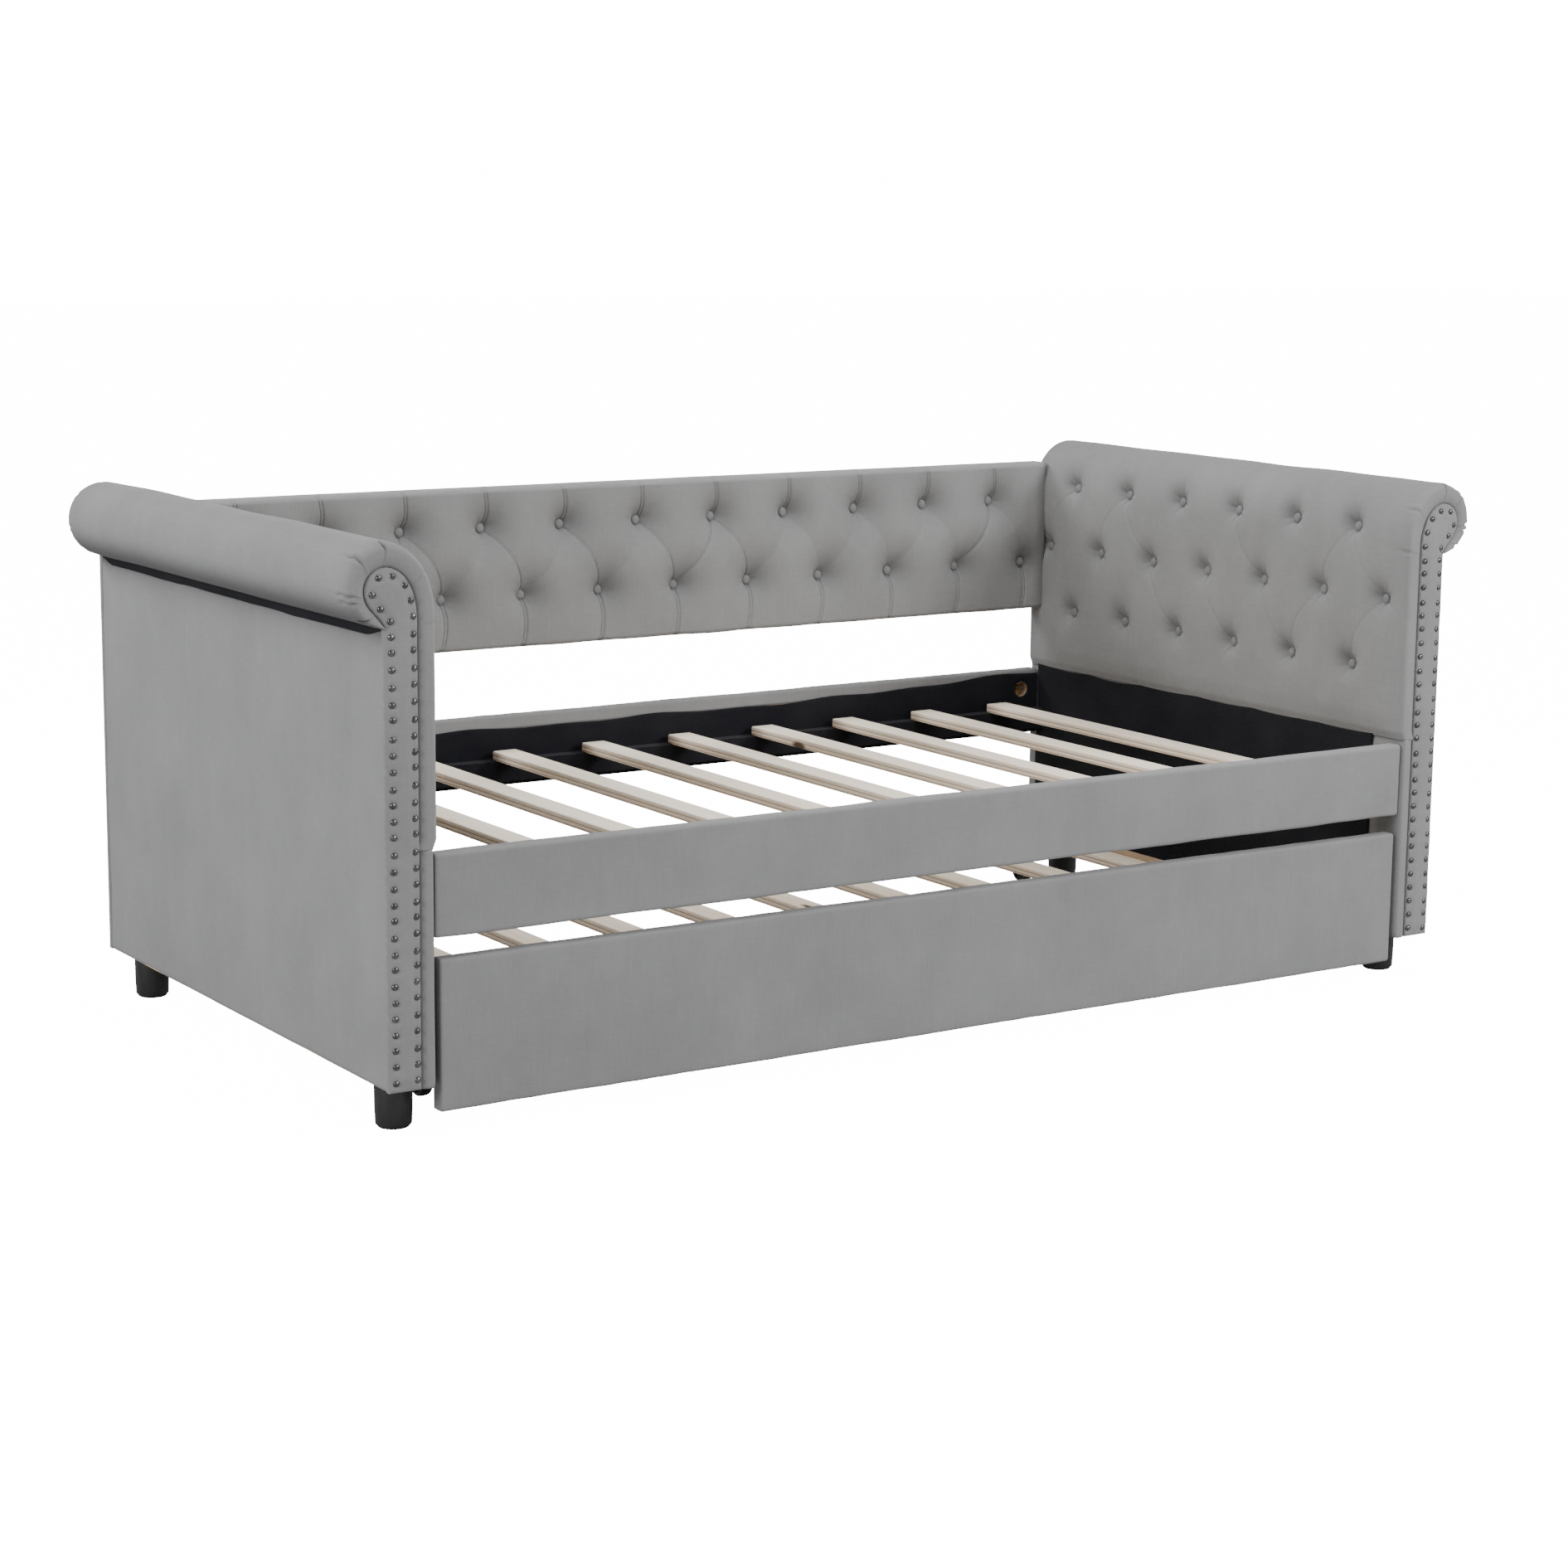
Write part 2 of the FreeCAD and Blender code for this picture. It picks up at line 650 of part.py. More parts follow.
bolts = []
nuts = []
for word, side in SIDES.items():
    for end, middle in RAIL_MIDDLE.items():
        low, high = sided(side, f"{ARM_BORDER} - bolt_reach + nut_length",
                          f"{ARM_BORDER} + bolt_reach + arm_border")
        bolts.append(rod(f"{end}_rail_{word}_bolt", "x", "bolt_radius", f"({high}) - ({low})",
                         (low, middle, "rail_bolt_height")))
        low, high = sided(side, f"{ARM_BORDER} - bolt_reach", f"{ARM_BORDER} - bolt_reach + nut_length")
        nuts.append(rod(f"{end}_rail_{word}_nut", "x", "nut_radius", f"({high}) - ({low})",
                        (low, middle, "rail_bolt_height")))
node(group("rail_bolts", bolts), "rail_bolts")
node(group("rail_nuts", nuts), "rail_nuts")


# ---------------------------------------------------------------- sleeping deck

slat_low = f"{RAIL_FACES['front']['ledger']} + slat_gap"
slat_high = f"{RAIL_FACES['back']['ledger']} - slat_gap"
for k, step in enumerate(row_steps(SLATS)):
    corner = (f"{SLAT_PITCH} * {step} - slat_width / 2", slat_low, "deck_height - slat_thick")
    name = f"slat_{k + 1:02d}"
    node(slat(name, corner, f"({slat_high}) - ({slat_low})"), name)


# ---------------------------------------------------------------- trundle

panel_half = f"({ARM_BORDER} - trundle_clear)"
panel_front = RAIL_FACES["front"]["outside"]
board_back = f"{panel_front} + cover + trundle_board"
rear = "(depth / 2 - trundle_setback)"
side_low = f"({TRUNDLE_SIDE} - trundle_rail_thick / 2)"
deck_foot = "(trundle_deck - slat_thick)"
frame_top = "(trundle_deck + trundle_lip)"

node(span_box("trundle_front_board", (
    (f"-{panel_half} + cover", f"{panel_half} - cover"), (f"{panel_front} + cover", board_back),
    ("trundle_foot + cover", "trundle_top - cover"))), "trundle_front_board")
node(wrap("trundle_front_cover",
          ((f"-{panel_half}", panel_half), (panel_front, board_back), ("trundle_foot", "trundle_top")),
          ((f"-{panel_half} + cover", f"{panel_half} - cover"),
           (f"{panel_front} + cover", f"{board_back} + {OVERCUT}"),
           ("trundle_foot + cover", "trundle_top - cover"))), "trundle_front_cover")
for word, side in SIDES.items():
    node(span_box(f"trundle_rail_{word}", (
        sided(side, side_low, f"{side_low} + trundle_rail_thick"), (board_back, rear),
        (TRUNDLE_RAIL_FOOT, frame_top))), f"trundle_rail_{word}")
between = (f"-{side_low}", side_low)
node(span_box("trundle_rail_back", (
    between, (f"{rear} - trundle_rail_thick", rear), (TRUNDLE_RAIL_FOOT, frame_top))), "trundle_rail_back")
ledger_height = (f"{deck_foot} - trundle_ledger", deck_foot)
node(group("trundle_ledgers", [
    span_box("trundle_ledger_front", (
        between, (board_back, f"{board_back} + trundle_ledger"), ledger_height)),
    span_box("trundle_ledger_back", (
        between, (f"{rear} - trundle_rail_thick - trundle_ledger", f"{rear} - trundle_rail_thick"),
        ledger_height)),
]), "trundle_ledgers")
trundle_slats = []
for k, step in enumerate(row_steps(SLATS)):
    corner = (f"{SLAT_PITCH} * {step} - slat_width / 2", f"{board_back} + trundle_slat_gap", deck_foot)
    length = f"({rear} - trundle_rail_thick) - ({board_back}) - 2 * trundle_slat_gap"
    trundle_slats.append(slat(f"trundle_slat_{k + 1:02d}", corner, length))
node(group("trundle_slats", trundle_slats), "trundle_slats")


# ---------------------------------------------------------------- casters

def caster(end, word, side):
    along = {"front": f"{board_back} + caster_front_inset", "back": f"{rear} - caster_back_inset"}[end]
    across = f"{side} * {TRUNDLE_SIDE}"
    name = f"{end}_{word}"

    wheel_low = "(-wheel_width / 2)"
    wheel = turned_body(f"caster_wheel_{name}", (
        ("axle_radius + axle_fit", wheel_low),
        ("wheel_radius - wheel_edge", wheel_low),
        ("wheel_radius", f"{wheel_low} + wheel_edge"),
        ("wheel_radius", "wheel_width / 2 - wheel_edge"),
        ("wheel_radius - wheel_edge", "wheel_width / 2"),
        ("axle_radius + axle_fit", "wheel_width / 2")))
    wheel.Placement.Rotation = TURNS["x"]
    place(wheel, (across, along, "wheel_radius"))
    node(wheel, f"caster_wheel_{name}")

    reach = "(wheel_width / 2 + wheel_side_gap + bracket_thick)"
    plate = span_box(f"{name}_plate", (
        about(across, f"2 * {reach}"), about(along, "bracket_length"),
        (f"{TRUNDLE_RAIL_FOOT} - bracket_thick", TRUNDLE_RAIL_FOOT)))
    cheeks = []
    for which, hand in SIDES.items():
        low = {1: f"{across} + {reach} - bracket_thick", -1: f"{across} - {reach}"}[hand]
        cheeks.append(span_box(f"{name}_{which}_cheek", (
            (low, f"{low} + bracket_thick"), about(along, "cheek_length"),
            ("wheel_radius - 2 * axle_radius", f"{TRUNDLE_RAIL_FOOT} - bracket_thick / 2"))))
    hole = rod(f"{name}_axle_hole", "x", "axle_radius", f"2 * {reach} + 2 * {OVERCUT}",
               (f"{across} - {reach} - {OVERCUT}", along, "wheel_radius"))
    bracket = cut(f"{name}_bracket", fuse(f"{name}_fork", [plate] + cheeks), hole)
    axle = rod(f"{name}_axle", "x", "axle_radius", f"2 * {reach}",
               (f"{across} - {reach}", along, "wheel_radius"))
    return bracket, axle


brackets = []
axles = []
for word, side in SIDES.items():
    for end in ENDS:
        bracket, axle = caster(end, word, side)
        brackets.append(bracket)
        axles.append(axle)
node(group("caster_brackets", brackets), "caster_brackets")
node(group("caster_axles", axles), "caster_axles")


# ---------------------------------------------------------------- check and write

doc.recompute()
for thing in doc.Objects:
    if "Invalid" in thing.State or "Error" in thing.State:
        raise RuntimeError(f"{thing.Name} did not build: {thing.State}")
for piece in nodes:
    if piece.Shape.isNull() or not piece.Shape.isValid():
        raise RuntimeError(f"{piece.Label} has no valid shape")
    if not piece.Shape.Solids:
        raise RuntimeError(f"{piece.Label} has no solid")

os.makedirs("parts", exist_ok=True)
for piece in nodes:
    piece.Shape.exportStep(f"parts/{piece.Label}.step")
    box = piece.Shape.BoundBox
    volume = piece.Shape.Volume / 1000
    print(f"{piece.Label:26s} solids {len(piece.Shape.Solids):3d}  volume {volume:9.1f} cm3"
          f"  x {box.XMin:7.1f} {box.XMax:7.1f}  y {box.YMin:6.1f} {box.YMax:6.1f}"
          f"  z {box.ZMin:6.1f} {box.ZMax:6.1f}")
print(len(nodes), "nodes")
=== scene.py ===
import json
import math

import bmesh
import bpy
import numpy as np
from mathutils import Matrix, Vector
from mathutils.geometry import delaunay_2d_cdt


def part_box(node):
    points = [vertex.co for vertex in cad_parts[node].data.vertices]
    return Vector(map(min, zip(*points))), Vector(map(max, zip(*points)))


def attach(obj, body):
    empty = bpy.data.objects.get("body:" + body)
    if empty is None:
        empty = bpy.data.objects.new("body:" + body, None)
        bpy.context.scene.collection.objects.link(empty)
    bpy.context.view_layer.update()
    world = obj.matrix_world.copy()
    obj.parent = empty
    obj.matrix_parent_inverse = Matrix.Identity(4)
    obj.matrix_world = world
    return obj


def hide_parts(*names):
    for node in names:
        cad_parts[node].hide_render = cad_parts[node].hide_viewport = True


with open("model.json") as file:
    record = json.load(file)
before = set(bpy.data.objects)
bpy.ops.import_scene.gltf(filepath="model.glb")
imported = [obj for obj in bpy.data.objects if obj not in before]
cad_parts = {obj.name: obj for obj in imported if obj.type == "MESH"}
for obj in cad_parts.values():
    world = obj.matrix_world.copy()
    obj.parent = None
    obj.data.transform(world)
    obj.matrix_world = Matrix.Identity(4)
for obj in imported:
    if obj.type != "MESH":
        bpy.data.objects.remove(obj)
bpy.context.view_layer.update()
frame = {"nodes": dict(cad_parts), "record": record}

# Looks for an upholstered daybed with a trundle. Metres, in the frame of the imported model:
# +X along the length, -Y the front, +Z up, origin on the floor under the middle.

SIDES = {"left": -1, "right": 1}
CORNERS = [f"{end}_{word}" for end in ("front", "back") for word in SIDES]

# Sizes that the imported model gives
PAD_LOW, PAD_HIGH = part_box("arm_right_pad")
FACING_LOW, FACING_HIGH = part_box("arm_right_facing")
COVER_LOW, COVER_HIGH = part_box("arm_right_outer_cover")
INNER_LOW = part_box("arm_right_inner_cover")[0]
BACK_LOW, BACK_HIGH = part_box("back_pad")
REAR_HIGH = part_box("back_rear_cover")[1]
OUTER = COVER_HIGH.x                       # outer face of an arm
FRONT = FACING_LOW.y                       # front face of the facings
BACK = COVER_HIGH.y                        # rear face of the arms
ARM_FOOT = COVER_LOW.z
PAD_FOOT = PAD_LOW.z

# Arm profile, measured inboard from the outer face and up from the floor
PAD_DEPTH = OUTER - PAD_LOW.x              # outer face to the face of the tufted pad
BORDER_DEPTH = OUTER - INNER_LOW.x         # outer face to the flat upholstery below it
ROLL_RADIUS = 0.064
ROLL_INSET = OUTER + ROLL_RADIUS - PAD_HIGH.x
ROLL_HEIGHT = PAD_HIGH.z - ROLL_RADIUS
ROLL_SHOULDER = 0.800
FACING_WIDTH = OUTER - FACING_LOW.x
HEAD_RADIUS = 0.034
HEAD_INSET = 0.003
HEAD_HEIGHT = FACING_HIGH.z - HEAD_RADIUS
HEAD_SHOULDER = 0.795
NECK_HEIGHT = 0.783
RING_PUFF = 0.022                          # how far the roll rounds over at its end
FACING_SINK = 0.003                        # facing edge behind the front of the puffed ring
REAR_SINK = 0.0014                         # the same at the rear panel, inside the 3 mm velvet
LAYER_FRONT = FRONT - 0.0005               # where the puffed layers of an arm start and end
LAYER_BACK = BACK - 0.001
OUTER_TOP = 0.7705                         # top edge of the velvet on the outer side

# Pads, buttons and nails
ARM_SWELL = 0.0045                         # how far a tufted pad swells between its edges
BACK_SWELL = 0.004
BUTTON_RADIUS = 0.0095
BUTTON_SEAT = 0.0035                       # a button above the bottom of its dimple
BUTTON_TILT = 0.12
NAIL_PITCH = 0.025


# ---------------------------------------------------------------- mesh helpers

def stacked(*parts):
    """Coordinates, each an array or one number, as an array of points."""
    return np.stack(np.broadcast_arrays(*parts), -1)


def grid_faces(rows, cols, first=0, wrap_rows=False, wrap_cols=False):
    index = np.arange(rows * cols).reshape(rows, cols) + first
    if wrap_rows:
        index = np.vstack([index, index[:1]])
    if wrap_cols:
        index = np.hstack([index, index[:, :1]])
    a, b = index[:-1, :-1], index[:-1, 1:]
    c, d = index[1:, 1:], index[1:, :-1]
    return np.stack([a, b, c, d], axis=-1).reshape(-1, 4).tolist()


def make_piece(name, shape, material, body="frame", sharp=None, nap_and_painted_shade=None):
    """A closed mesh with outward normals, riding on a body; the last argument is painted shade, how much
    darker its colour is made at each point.
    """
    points, faces = shape
    mesh = bpy.data.meshes.new(name)
    mesh.from_pydata(np.asarray(points, float).reshape(-1, 3).tolist(), [], faces)
    if nap_and_painted_shade is not None:
        layer = mesh.attributes.new("nap_and_painted_shade", "FLOAT", "POINT")
        layer.data.foreach_set("value", np.clip(np.asarray(nap_and_painted_shade, np.float32).ravel(), 0, 1))
    work = bmesh.new()
    work.from_mesh(mesh)
    bmesh.ops.remove_doubles(work, verts=work.verts, dist=1e-6)
    bmesh.ops.recalc_face_normals(work, faces=work.faces)
    for face in work.faces:
        face.smooth = True
    if sharp is not None:
        for edge in work.edges:
            if len(edge.link_faces) == 2 and edge.calc_face_angle(0) > sharp:
                edge.smooth = False
    work.to_mesh(mesh)
    work.free()
    piece = bpy.data.objects.new(name, mesh)
    bpy.context.scene.collection.objects.link(piece)
    piece.data.materials.append(material)
    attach(piece, body)
    return piece


def slab(front, rear):
    """Points and faces of a closed sheet between two grids of the same size."""
    rows, cols = front.shape[:2]
    points = np.concatenate([front.reshape(-1, 3), rear.reshape(-1, 3)])
    count = rows * cols
    faces = grid_faces(rows, cols) + grid_faces(rows, cols, count)
    index = np.arange(count).reshape(rows, cols)
    loop = np.concatenate([index[0], index[1:, -1], index[-1, -2::-1], index[-2:0:-1, 0]])
    for a, b in zip(loop, np.roll(loop, -1)):
        faces.append([int(a), int(b), int(b + count), int(a + count)])
    return points, faces


def loft(rings):
    """Points and faces of rings of equal length, closed round, with a face on each end."""
    rings = np.asarray(rings, float)
    count, around = rings.shape[:2]
    faces = grid_faces(count, around, wrap_cols=True)
    faces.append(list(range(around)))
    faces.append(list(range((count - 1) * around, count * around)))
    return rings.reshape(-1, 3), faces


def lathe(profile, segments=32):
    """Points and faces of a (radius, height) outline turned about Z; it starts and ends on the axis."""
    angles = np.linspace(0, 2 * math.pi, segments, endpoint=False)
    rings = []
    for radius, height in profile:
        radius = max(radius, 1e-5)
        rings.append(stacked(radius * np.cos(angles), radius * np.sin(angles), height))
    return loft(rings)


def edge_distance(points, loops):
    """Distance from 2-D points to the nearest of some closed loops, and whether each is inside."""
    near = np.full(len(points), 9.0)
    inside = np.zeros(len(points), bool)
    for loop in loops:
        for a, b in zip(loop, np.roll(loop, -1, axis=0)):
            line = b - a
            share = np.clip(((points - a) @ line) / max(line @ line, 1e-12), 0, 1)
            near = np.minimum(near, np.linalg.norm(points - a - share[:, None] * line, axis=1))
            if a[1] != b[1]:
                crosses = (points[:, 1] < a[1]) != (points[:, 1] < b[1])
                inside ^= crosses & (points[:, 0] < a[0] + (points[:, 1] - a[1]) * line[0] / line[1])
    return near, inside


def filled(loops, spacing):
    """Points, triangles and distances to the edge that fill an outline less its holes."""
    loops = [np.asarray(loop, float) for loop in loops]
    low = loops[0].min(axis=0)
    high = loops[0].max(axis=0)
    across, up = np.meshgrid(np.arange(low[0] + spacing / 2, high[0], spacing),
                             np.arange(low[1] + spacing / 2, high[1], spacing))
    across[::2] += spacing / 2
    grid = np.stack([across.ravel(), up.ravel()], -1)
    near, inside = edge_distance(grid, loops)
    grid = grid[inside & (near > 0.45 * spacing)]
    edges = []
    first = 0
    for loop in loops:
        count = len(loop)
        edges += [(first + k, first + (k + 1) % count) for k in range(count)]
        first += count
    coords = np.concatenate(loops + [grid])
    made = delaunay_2d_cdt([Vector(c) for c in coords.tolist()], edges, [], 0, 1e-7)
    points = np.array([tuple(v) for v in made[0]])
    faces = np.array(made[2])
    keep = edge_distance(points[faces].mean(axis=1), loops)[1]
    return points, faces[keep], edge_distance(points, loops)[0]


def plate(front, rear, faces):
    """Closed solid between two copies of the same triangles."""
    count = len(front)
    used = {}
    for face in faces.tolist():
        for a, b in zip(face, face[1:] + face[:1]):
            used[(a, b)] = used.get((a, b), 0) + 1
    walls = [[b, a, a + count, b + count] for a, b in used if (b, a) not in used]
    return np.concatenate([front, rear]), faces.tolist() + (faces[:, ::-1] + count).tolist() + walls


def stood(place, aim, axis="Z"):
    """Matrix that puts a thing at a place with one of its axes along an aim."""
    return Matrix.Translation(place) @ aim.to_track_quat(axis, "Y").to_matrix().to_4x4()


def placed(shape, place, aim):
    """A (points, faces) shape at a place, its +Z along an aim."""
    matrix = stood(place, aim.normalized())
    points, faces = shape
    return points @ np.array(matrix.to_3x3()).T + np.array(matrix.translation), faces


def many(copies):
    """Several (points, faces) shapes as one."""
    all_faces = []
    first = 0
    for points, faces in copies:
        all_faces += [[v + first for v in face] for face in faces]
        first += len(points)
    return np.concatenate([points for points, faces in copies]), all_faces


def spans(*stretches):
    """Places along a line from stretches given as (start, end, count)."""
    return np.concatenate([np.linspace(*stretch) for stretch in stretches])


def smoothstep(value, low, high):
    share = np.clip((value - low) / (high - low), 0, 1)
    return share * share * (3 - 2 * share)


def rounded(gap, radius):
    """Drop of a rounded edge at a distance in from it, as a share of its radius."""
    return 1 - np.sqrt(1 - np.clip(1 - gap / radius, 0, 1) ** 2)


def soft_noise(a, b, seed, scale, waves=9):
    """A smooth random surface of a few sine waves, about -1 to 1."""
    draw = np.random.default_rng(seed)
    total = np.zeros(np.broadcast(a, b).shape)
    for _ in range(waves):
        angle = draw.uniform(0, 2 * math.pi)
        pace = 2 * math.pi / (scale * draw.uniform(0.6, 1.6))
        along = a * math.cos(angle) + b * math.sin(angle)
        total = total + np.sin(pace * along + draw.uniform(0, 2 * math.pi))
    return total / math.sqrt(waves) / 1.4


def bezier(points, count):
    """Points along a cubic curve."""
    share = np.linspace(0, 1, count)[:, None]
    p = np.asarray(points, float)
    rest = 1 - share
    return rest ** 3 * p[0] + 3 * rest ** 2 * share * p[1] + 3 * rest * share ** 2 * p[2] + share ** 3 * p[3]


# ---------------------------------------------------------------- materials

class Nodes:
    """Short names for building one material's node tree."""

    def __init__(self, name):
        self.material = bpy.data.materials.new(name)
        self.material.use_nodes = True
        self.tree = self.material.node_tree
        self.shader = self.tree.nodes["Principled BSDF"]
        self.place = self.add("ShaderNodeTexCoord").outputs["Object"]

    def add(self, kind, **inputs):
        made = self.tree.nodes.new(kind)
        for key, value in inputs.items():
            self.feed(made.inputs[key.replace("_", " ")], value)
        return made

    def feed(self, socket, value):
        if isinstance(value, bpy.types.NodeSocket):
            self.tree.links.new(value, socket)
        else:
            socket.default_value = value

    def tilt(self, axis):
        """One component of the mesh's normal in its own frame."""
        normal = self.tree.nodes["Texture Coordinate"].outputs["Normal"]
        return self.add("ShaderNodeSeparateXYZ", Vector=normal).outputs[axis]

    def stretched(self, scale):
        return self.add("ShaderNodeMapping", Vector=self.place, Scale=scale).outputs["Vector"]

    def noise(self, scale, detail=3.0, vector=None, roughness=0.5):
        made = self.add("ShaderNodeTexNoise", Vector=vector or self.place, Scale=scale, Detail=detail,
                        Roughness=roughness)
        return made.outputs["Fac"]

    def ramp(self, value, stops):
        """A colour or grey level at each (place, colour) stop along a value."""
        made = self.add("ShaderNodeValToRGB", Fac=value)
        elements = made.color_ramp.elements
        while len(elements) < len(stops):
            elements.new(0.5)
        for element, (place, color) in zip(elements, stops):
            element.position = place
            element.color = (*color, 1) if isinstance(color, tuple) else (color, color, color, 1)
        return made.outputs["Color"]

    def math(self, kind, a, b=0.0, c=0.0):
        made = self.tree.nodes.new("ShaderNodeMath")
        made.operation = kind
        for socket, value in zip(made.inputs, (a, b, c)):
            self.feed(socket, value)
        return made.outputs[0]

    def times(self, a, b):
        return self.mix(1.0, a, b, "MULTIPLY")

    def mix(self, share, a, b, blend="MIX"):
        made = self.tree.nodes.new("ShaderNodeMix")
        made.data_type = "RGBA"
        made.blend_type = blend
        self.feed(made.inputs[0], share)
        self.feed(made.inputs[6], a)
        self.feed(made.inputs[7], b)
        return made.outputs[2]

    def bump(self, layers):
        """Chain of (height, strength, distance) bumps into the shader's normal."""
        normal = None
        for height, strength, distance in layers:
            made = self.add("ShaderNodeBump", Height=height, Strength=strength, Distance=distance)
            if normal is not None:
                self.feed(made.inputs["Normal"], normal)
            normal = made.outputs["Normal"]
        self.feed(self.shader.inputs["Normal"], normal)

    def set(self, **inputs):
        for key, value in inputs.items():
            self.feed(self.shader.inputs[key.replace("_", " ")], value)


def velvet(name, level):
    """Short-pile velvet: mottled nap, fine cross threads, a soft sheen and painted shade read from a mesh
    attribute.
    """
    n = Nodes(name)
    # random mottle in the velvet's own tone, not shade
    nap_and_painted_shade = n.noise(5.5, 4.0)
    brushed = n.noise(26.0, 3.0, n.stretched((1.0, 1.0, 0.35)))
    pile = n.noise(1400.0, 2.0)
    thread_a = n.noise(420.0, 1.0, n.stretched((1.0, 1.0, 0.07)))
    thread_b = n.noise(420.0, 1.0, n.stretched((0.09, 0.09, 1.0)))
    threads = n.math("MULTIPLY", thread_a, thread_b)
    tone = n.ramp(nap_and_painted_shade, [(0.30, (level * 0.92, level * 0.925, level * 0.93)),
                         (0.72, (level * 1.05, level * 1.055, level * 1.06))])
    streak = n.ramp(brushed, [(0.3, 0.955), (0.7, 1.0)])
    weave = n.ramp(threads, [(0.12, 0.93), (0.42, 1.0)])
    color = n.times(n.times(tone, streak), weave)
    # painted shade: a mesh attribute darkens the colour in hollows, creases, beside the buttons and under the
    # roll
    painted_shade_attribute = n.tree.nodes.new("ShaderNodeAttribute")
    painted_shade_attribute.attribute_name = "nap_and_painted_shade"
    shade = n.math("SUBTRACT", 1.0, n.math("MULTIPLY", painted_shade_attribute.outputs["Fac"], 0.85))
    shades = n.add("ShaderNodeCombineColor", Red=shade, Green=shade, Blue=shade).outputs[0]
    n.set(Base_Color=n.times(color, shades), Roughness=0.88, Specular_IOR_Level=0.18,
          Sheen_Weight=0.10, Sheen_Roughness=0.45, Sheen_Tint=(0.92, 0.92, 0.95, 1))
    n.bump([(threads, 0.22, 0.0006), (pile, 0.18, 0.0003), (brushed, 0.12, 0.002)])
    return n.material


def black_cloth():
    """Thin non-woven dust cloth with an embossed dot pattern."""
    n = Nodes("black_cloth")
    fibre = n.noise(900.0, 3.0)
    dots = n.add("ShaderNodeTexVoronoi", Vector=n.place, Scale=420.0).outputs["Distance"]
    cloud = n.noise(9.0, 3.0)
    color = n.ramp(cloud, [(0.3, (0.005, 0.005, 0.008)), (0.75, (0.011, 0.011, 0.014))])
    n.set(Base_Color=color, Roughness=0.93, Specular_IOR_Level=0.15, Sheen_Weight=0.05)
    n.bump([(dots, 0.25, 0.0004), (fibre, 0.2, 0.0003), (cloud, 0.25, 0.004)])
    return n.material


def slat_wood(name, light, dark, along, plied=False):
    """Planed softwood: growth rings drawn out along the board, fine grain, small knots and side plies."""
    n = Nodes(name)

    def drawn_out(share):
        return n.stretched(tuple(share if axis == along else 1.0 for axis in range(3)))

    rings = n.noise(34.0, 4.0, drawn_out(0.055), 0.6)
    fine = n.noise(620.0, 3.0, drawn_out(0.02), 0.6)
    patch = n.noise(5.0, 2.0)
    knots = n.add("ShaderNodeTexVoronoi", Vector=drawn_out(0.35), Scale=7.0).outputs["Distance"]
    base = n.ramp(rings, [(0.25, light), (0.52, tuple((a + b) / 2 for a, b in zip(light, dark))),
                          (0.60, light), (0.85, dark)])
    base = n.mix(n.math("MULTIPLY", patch, 0.35), base, (*dark, 1))
    base = n.mix(0.55, base, n.ramp(fine, [(0.3, 0.86), (0.7, 1.0)]), "MULTIPLY")
    if plied:
        plies = n.add("ShaderNodeTexWave", Vector=n.stretched((0.0, 0.0, 1.0)), Scale=46.0,
                      Distortion=1.2, Detail=2.0)
        plies.bands_direction = "Z"
        color_plies = n.ramp(plies.outputs["Fac"], [(0.62, 1.0), (0.90, (0.62, 0.50, 0.40))])
        sides = n.math("LESS_THAN", n.math("ABSOLUTE", n.tilt(2)), 0.5)
        base = n.mix(sides, base, n.times(base, color_plies))
    speck = n.ramp(knots, [(0.035, (1, 1, 1)), (0.075, (0, 0, 0))])
    color = n.mix(speck, base, (0.10, 0.055, 0.03, 1))
    n.set(Base_Color=color, Roughness=n.ramp(fine, [(0.2, 0.50), (0.8, 0.66)]), Specular_IOR_Level=0.35)
    n.bump([(fine, 0.25, 0.0004), (rings, 0.15, 0.0008)])
    return n.material


def metal(name, color, roughness, wear):
    n = Nodes(name)
    patina = n.noise(wear, 4.0)
    dark = tuple(c * 0.45 for c in color)
    n.set(Base_Color=n.ramp(patina, [(0.35, dark), (0.65, color)]), Metallic=1.0,
          Roughness=n.ramp(patina, [(0.3, roughness * 1.5), (0.7, roughness)]))
    n.bump([(n.noise(wear * 3, 2.0), 0.15, 0.0003)])
    return n.material


def plastic(name, level, roughness, grain):
    n = Nodes(name)
    cloud = n.noise(30.0, 3.0)
    scuff = n.noise(140.0, 4.0, n.stretched((1.0, 1.0, 0.3)))
    n.set(Base_Color=n.ramp(cloud, [(0.3, level * 0.8), (0.7, level * 1.2)]),
          Roughness=n.ramp(scuff, [(0.3, roughness * 0.8), (0.7, roughness * 1.2)]))
    n.bump([(n.noise(grain, 2.0), 0.12, 0.0003), (scuff, 0.08, 0.0004)])
    return n.material


VELVET = velvet("velvet_grey", 0.225)
VELVET_SIDE = velvet("velvet_grey_side", 0.225)
# the buttons' velvet is darker than the pad's: painted shade of the dimples they sit in
BUTTON_VELVET = velvet("velvet_button", 0.18)
BLACK_CLOTH = black_cloth()
SLAT_WOOD = slat_wood("slat_pine", (1.0, 0.92, 0.79), (0.86, 0.71, 0.54), 1, plied=True)
FRAME_WOOD = slat_wood("frame_pine", (0.58, 0.42, 0.27), (0.42, 0.28, 0.16), 0)
NAIL_METAL = metal("antique_nail", (0.17, 0.165, 0.16), 0.22, 160.0)
STEEL = metal("zinc_steel", (0.60, 0.60, 0.62), 0.35, 90.0)
BRASS = metal("dull_brass", (0.62, 0.43, 0.22), 0.35, 90.0)
LEG_BLACK = plastic("leg_black", 0.010, 0.42, 900.0)
CASTER_BLACK = plastic("caster_black", 0.014, 0.5, 700.0)
BRACKET_BLACK = metal("bracket_black", (0.05, 0.05, 0.052), 0.45, 120.0)


# ---------------------------------------------------------------- tufting

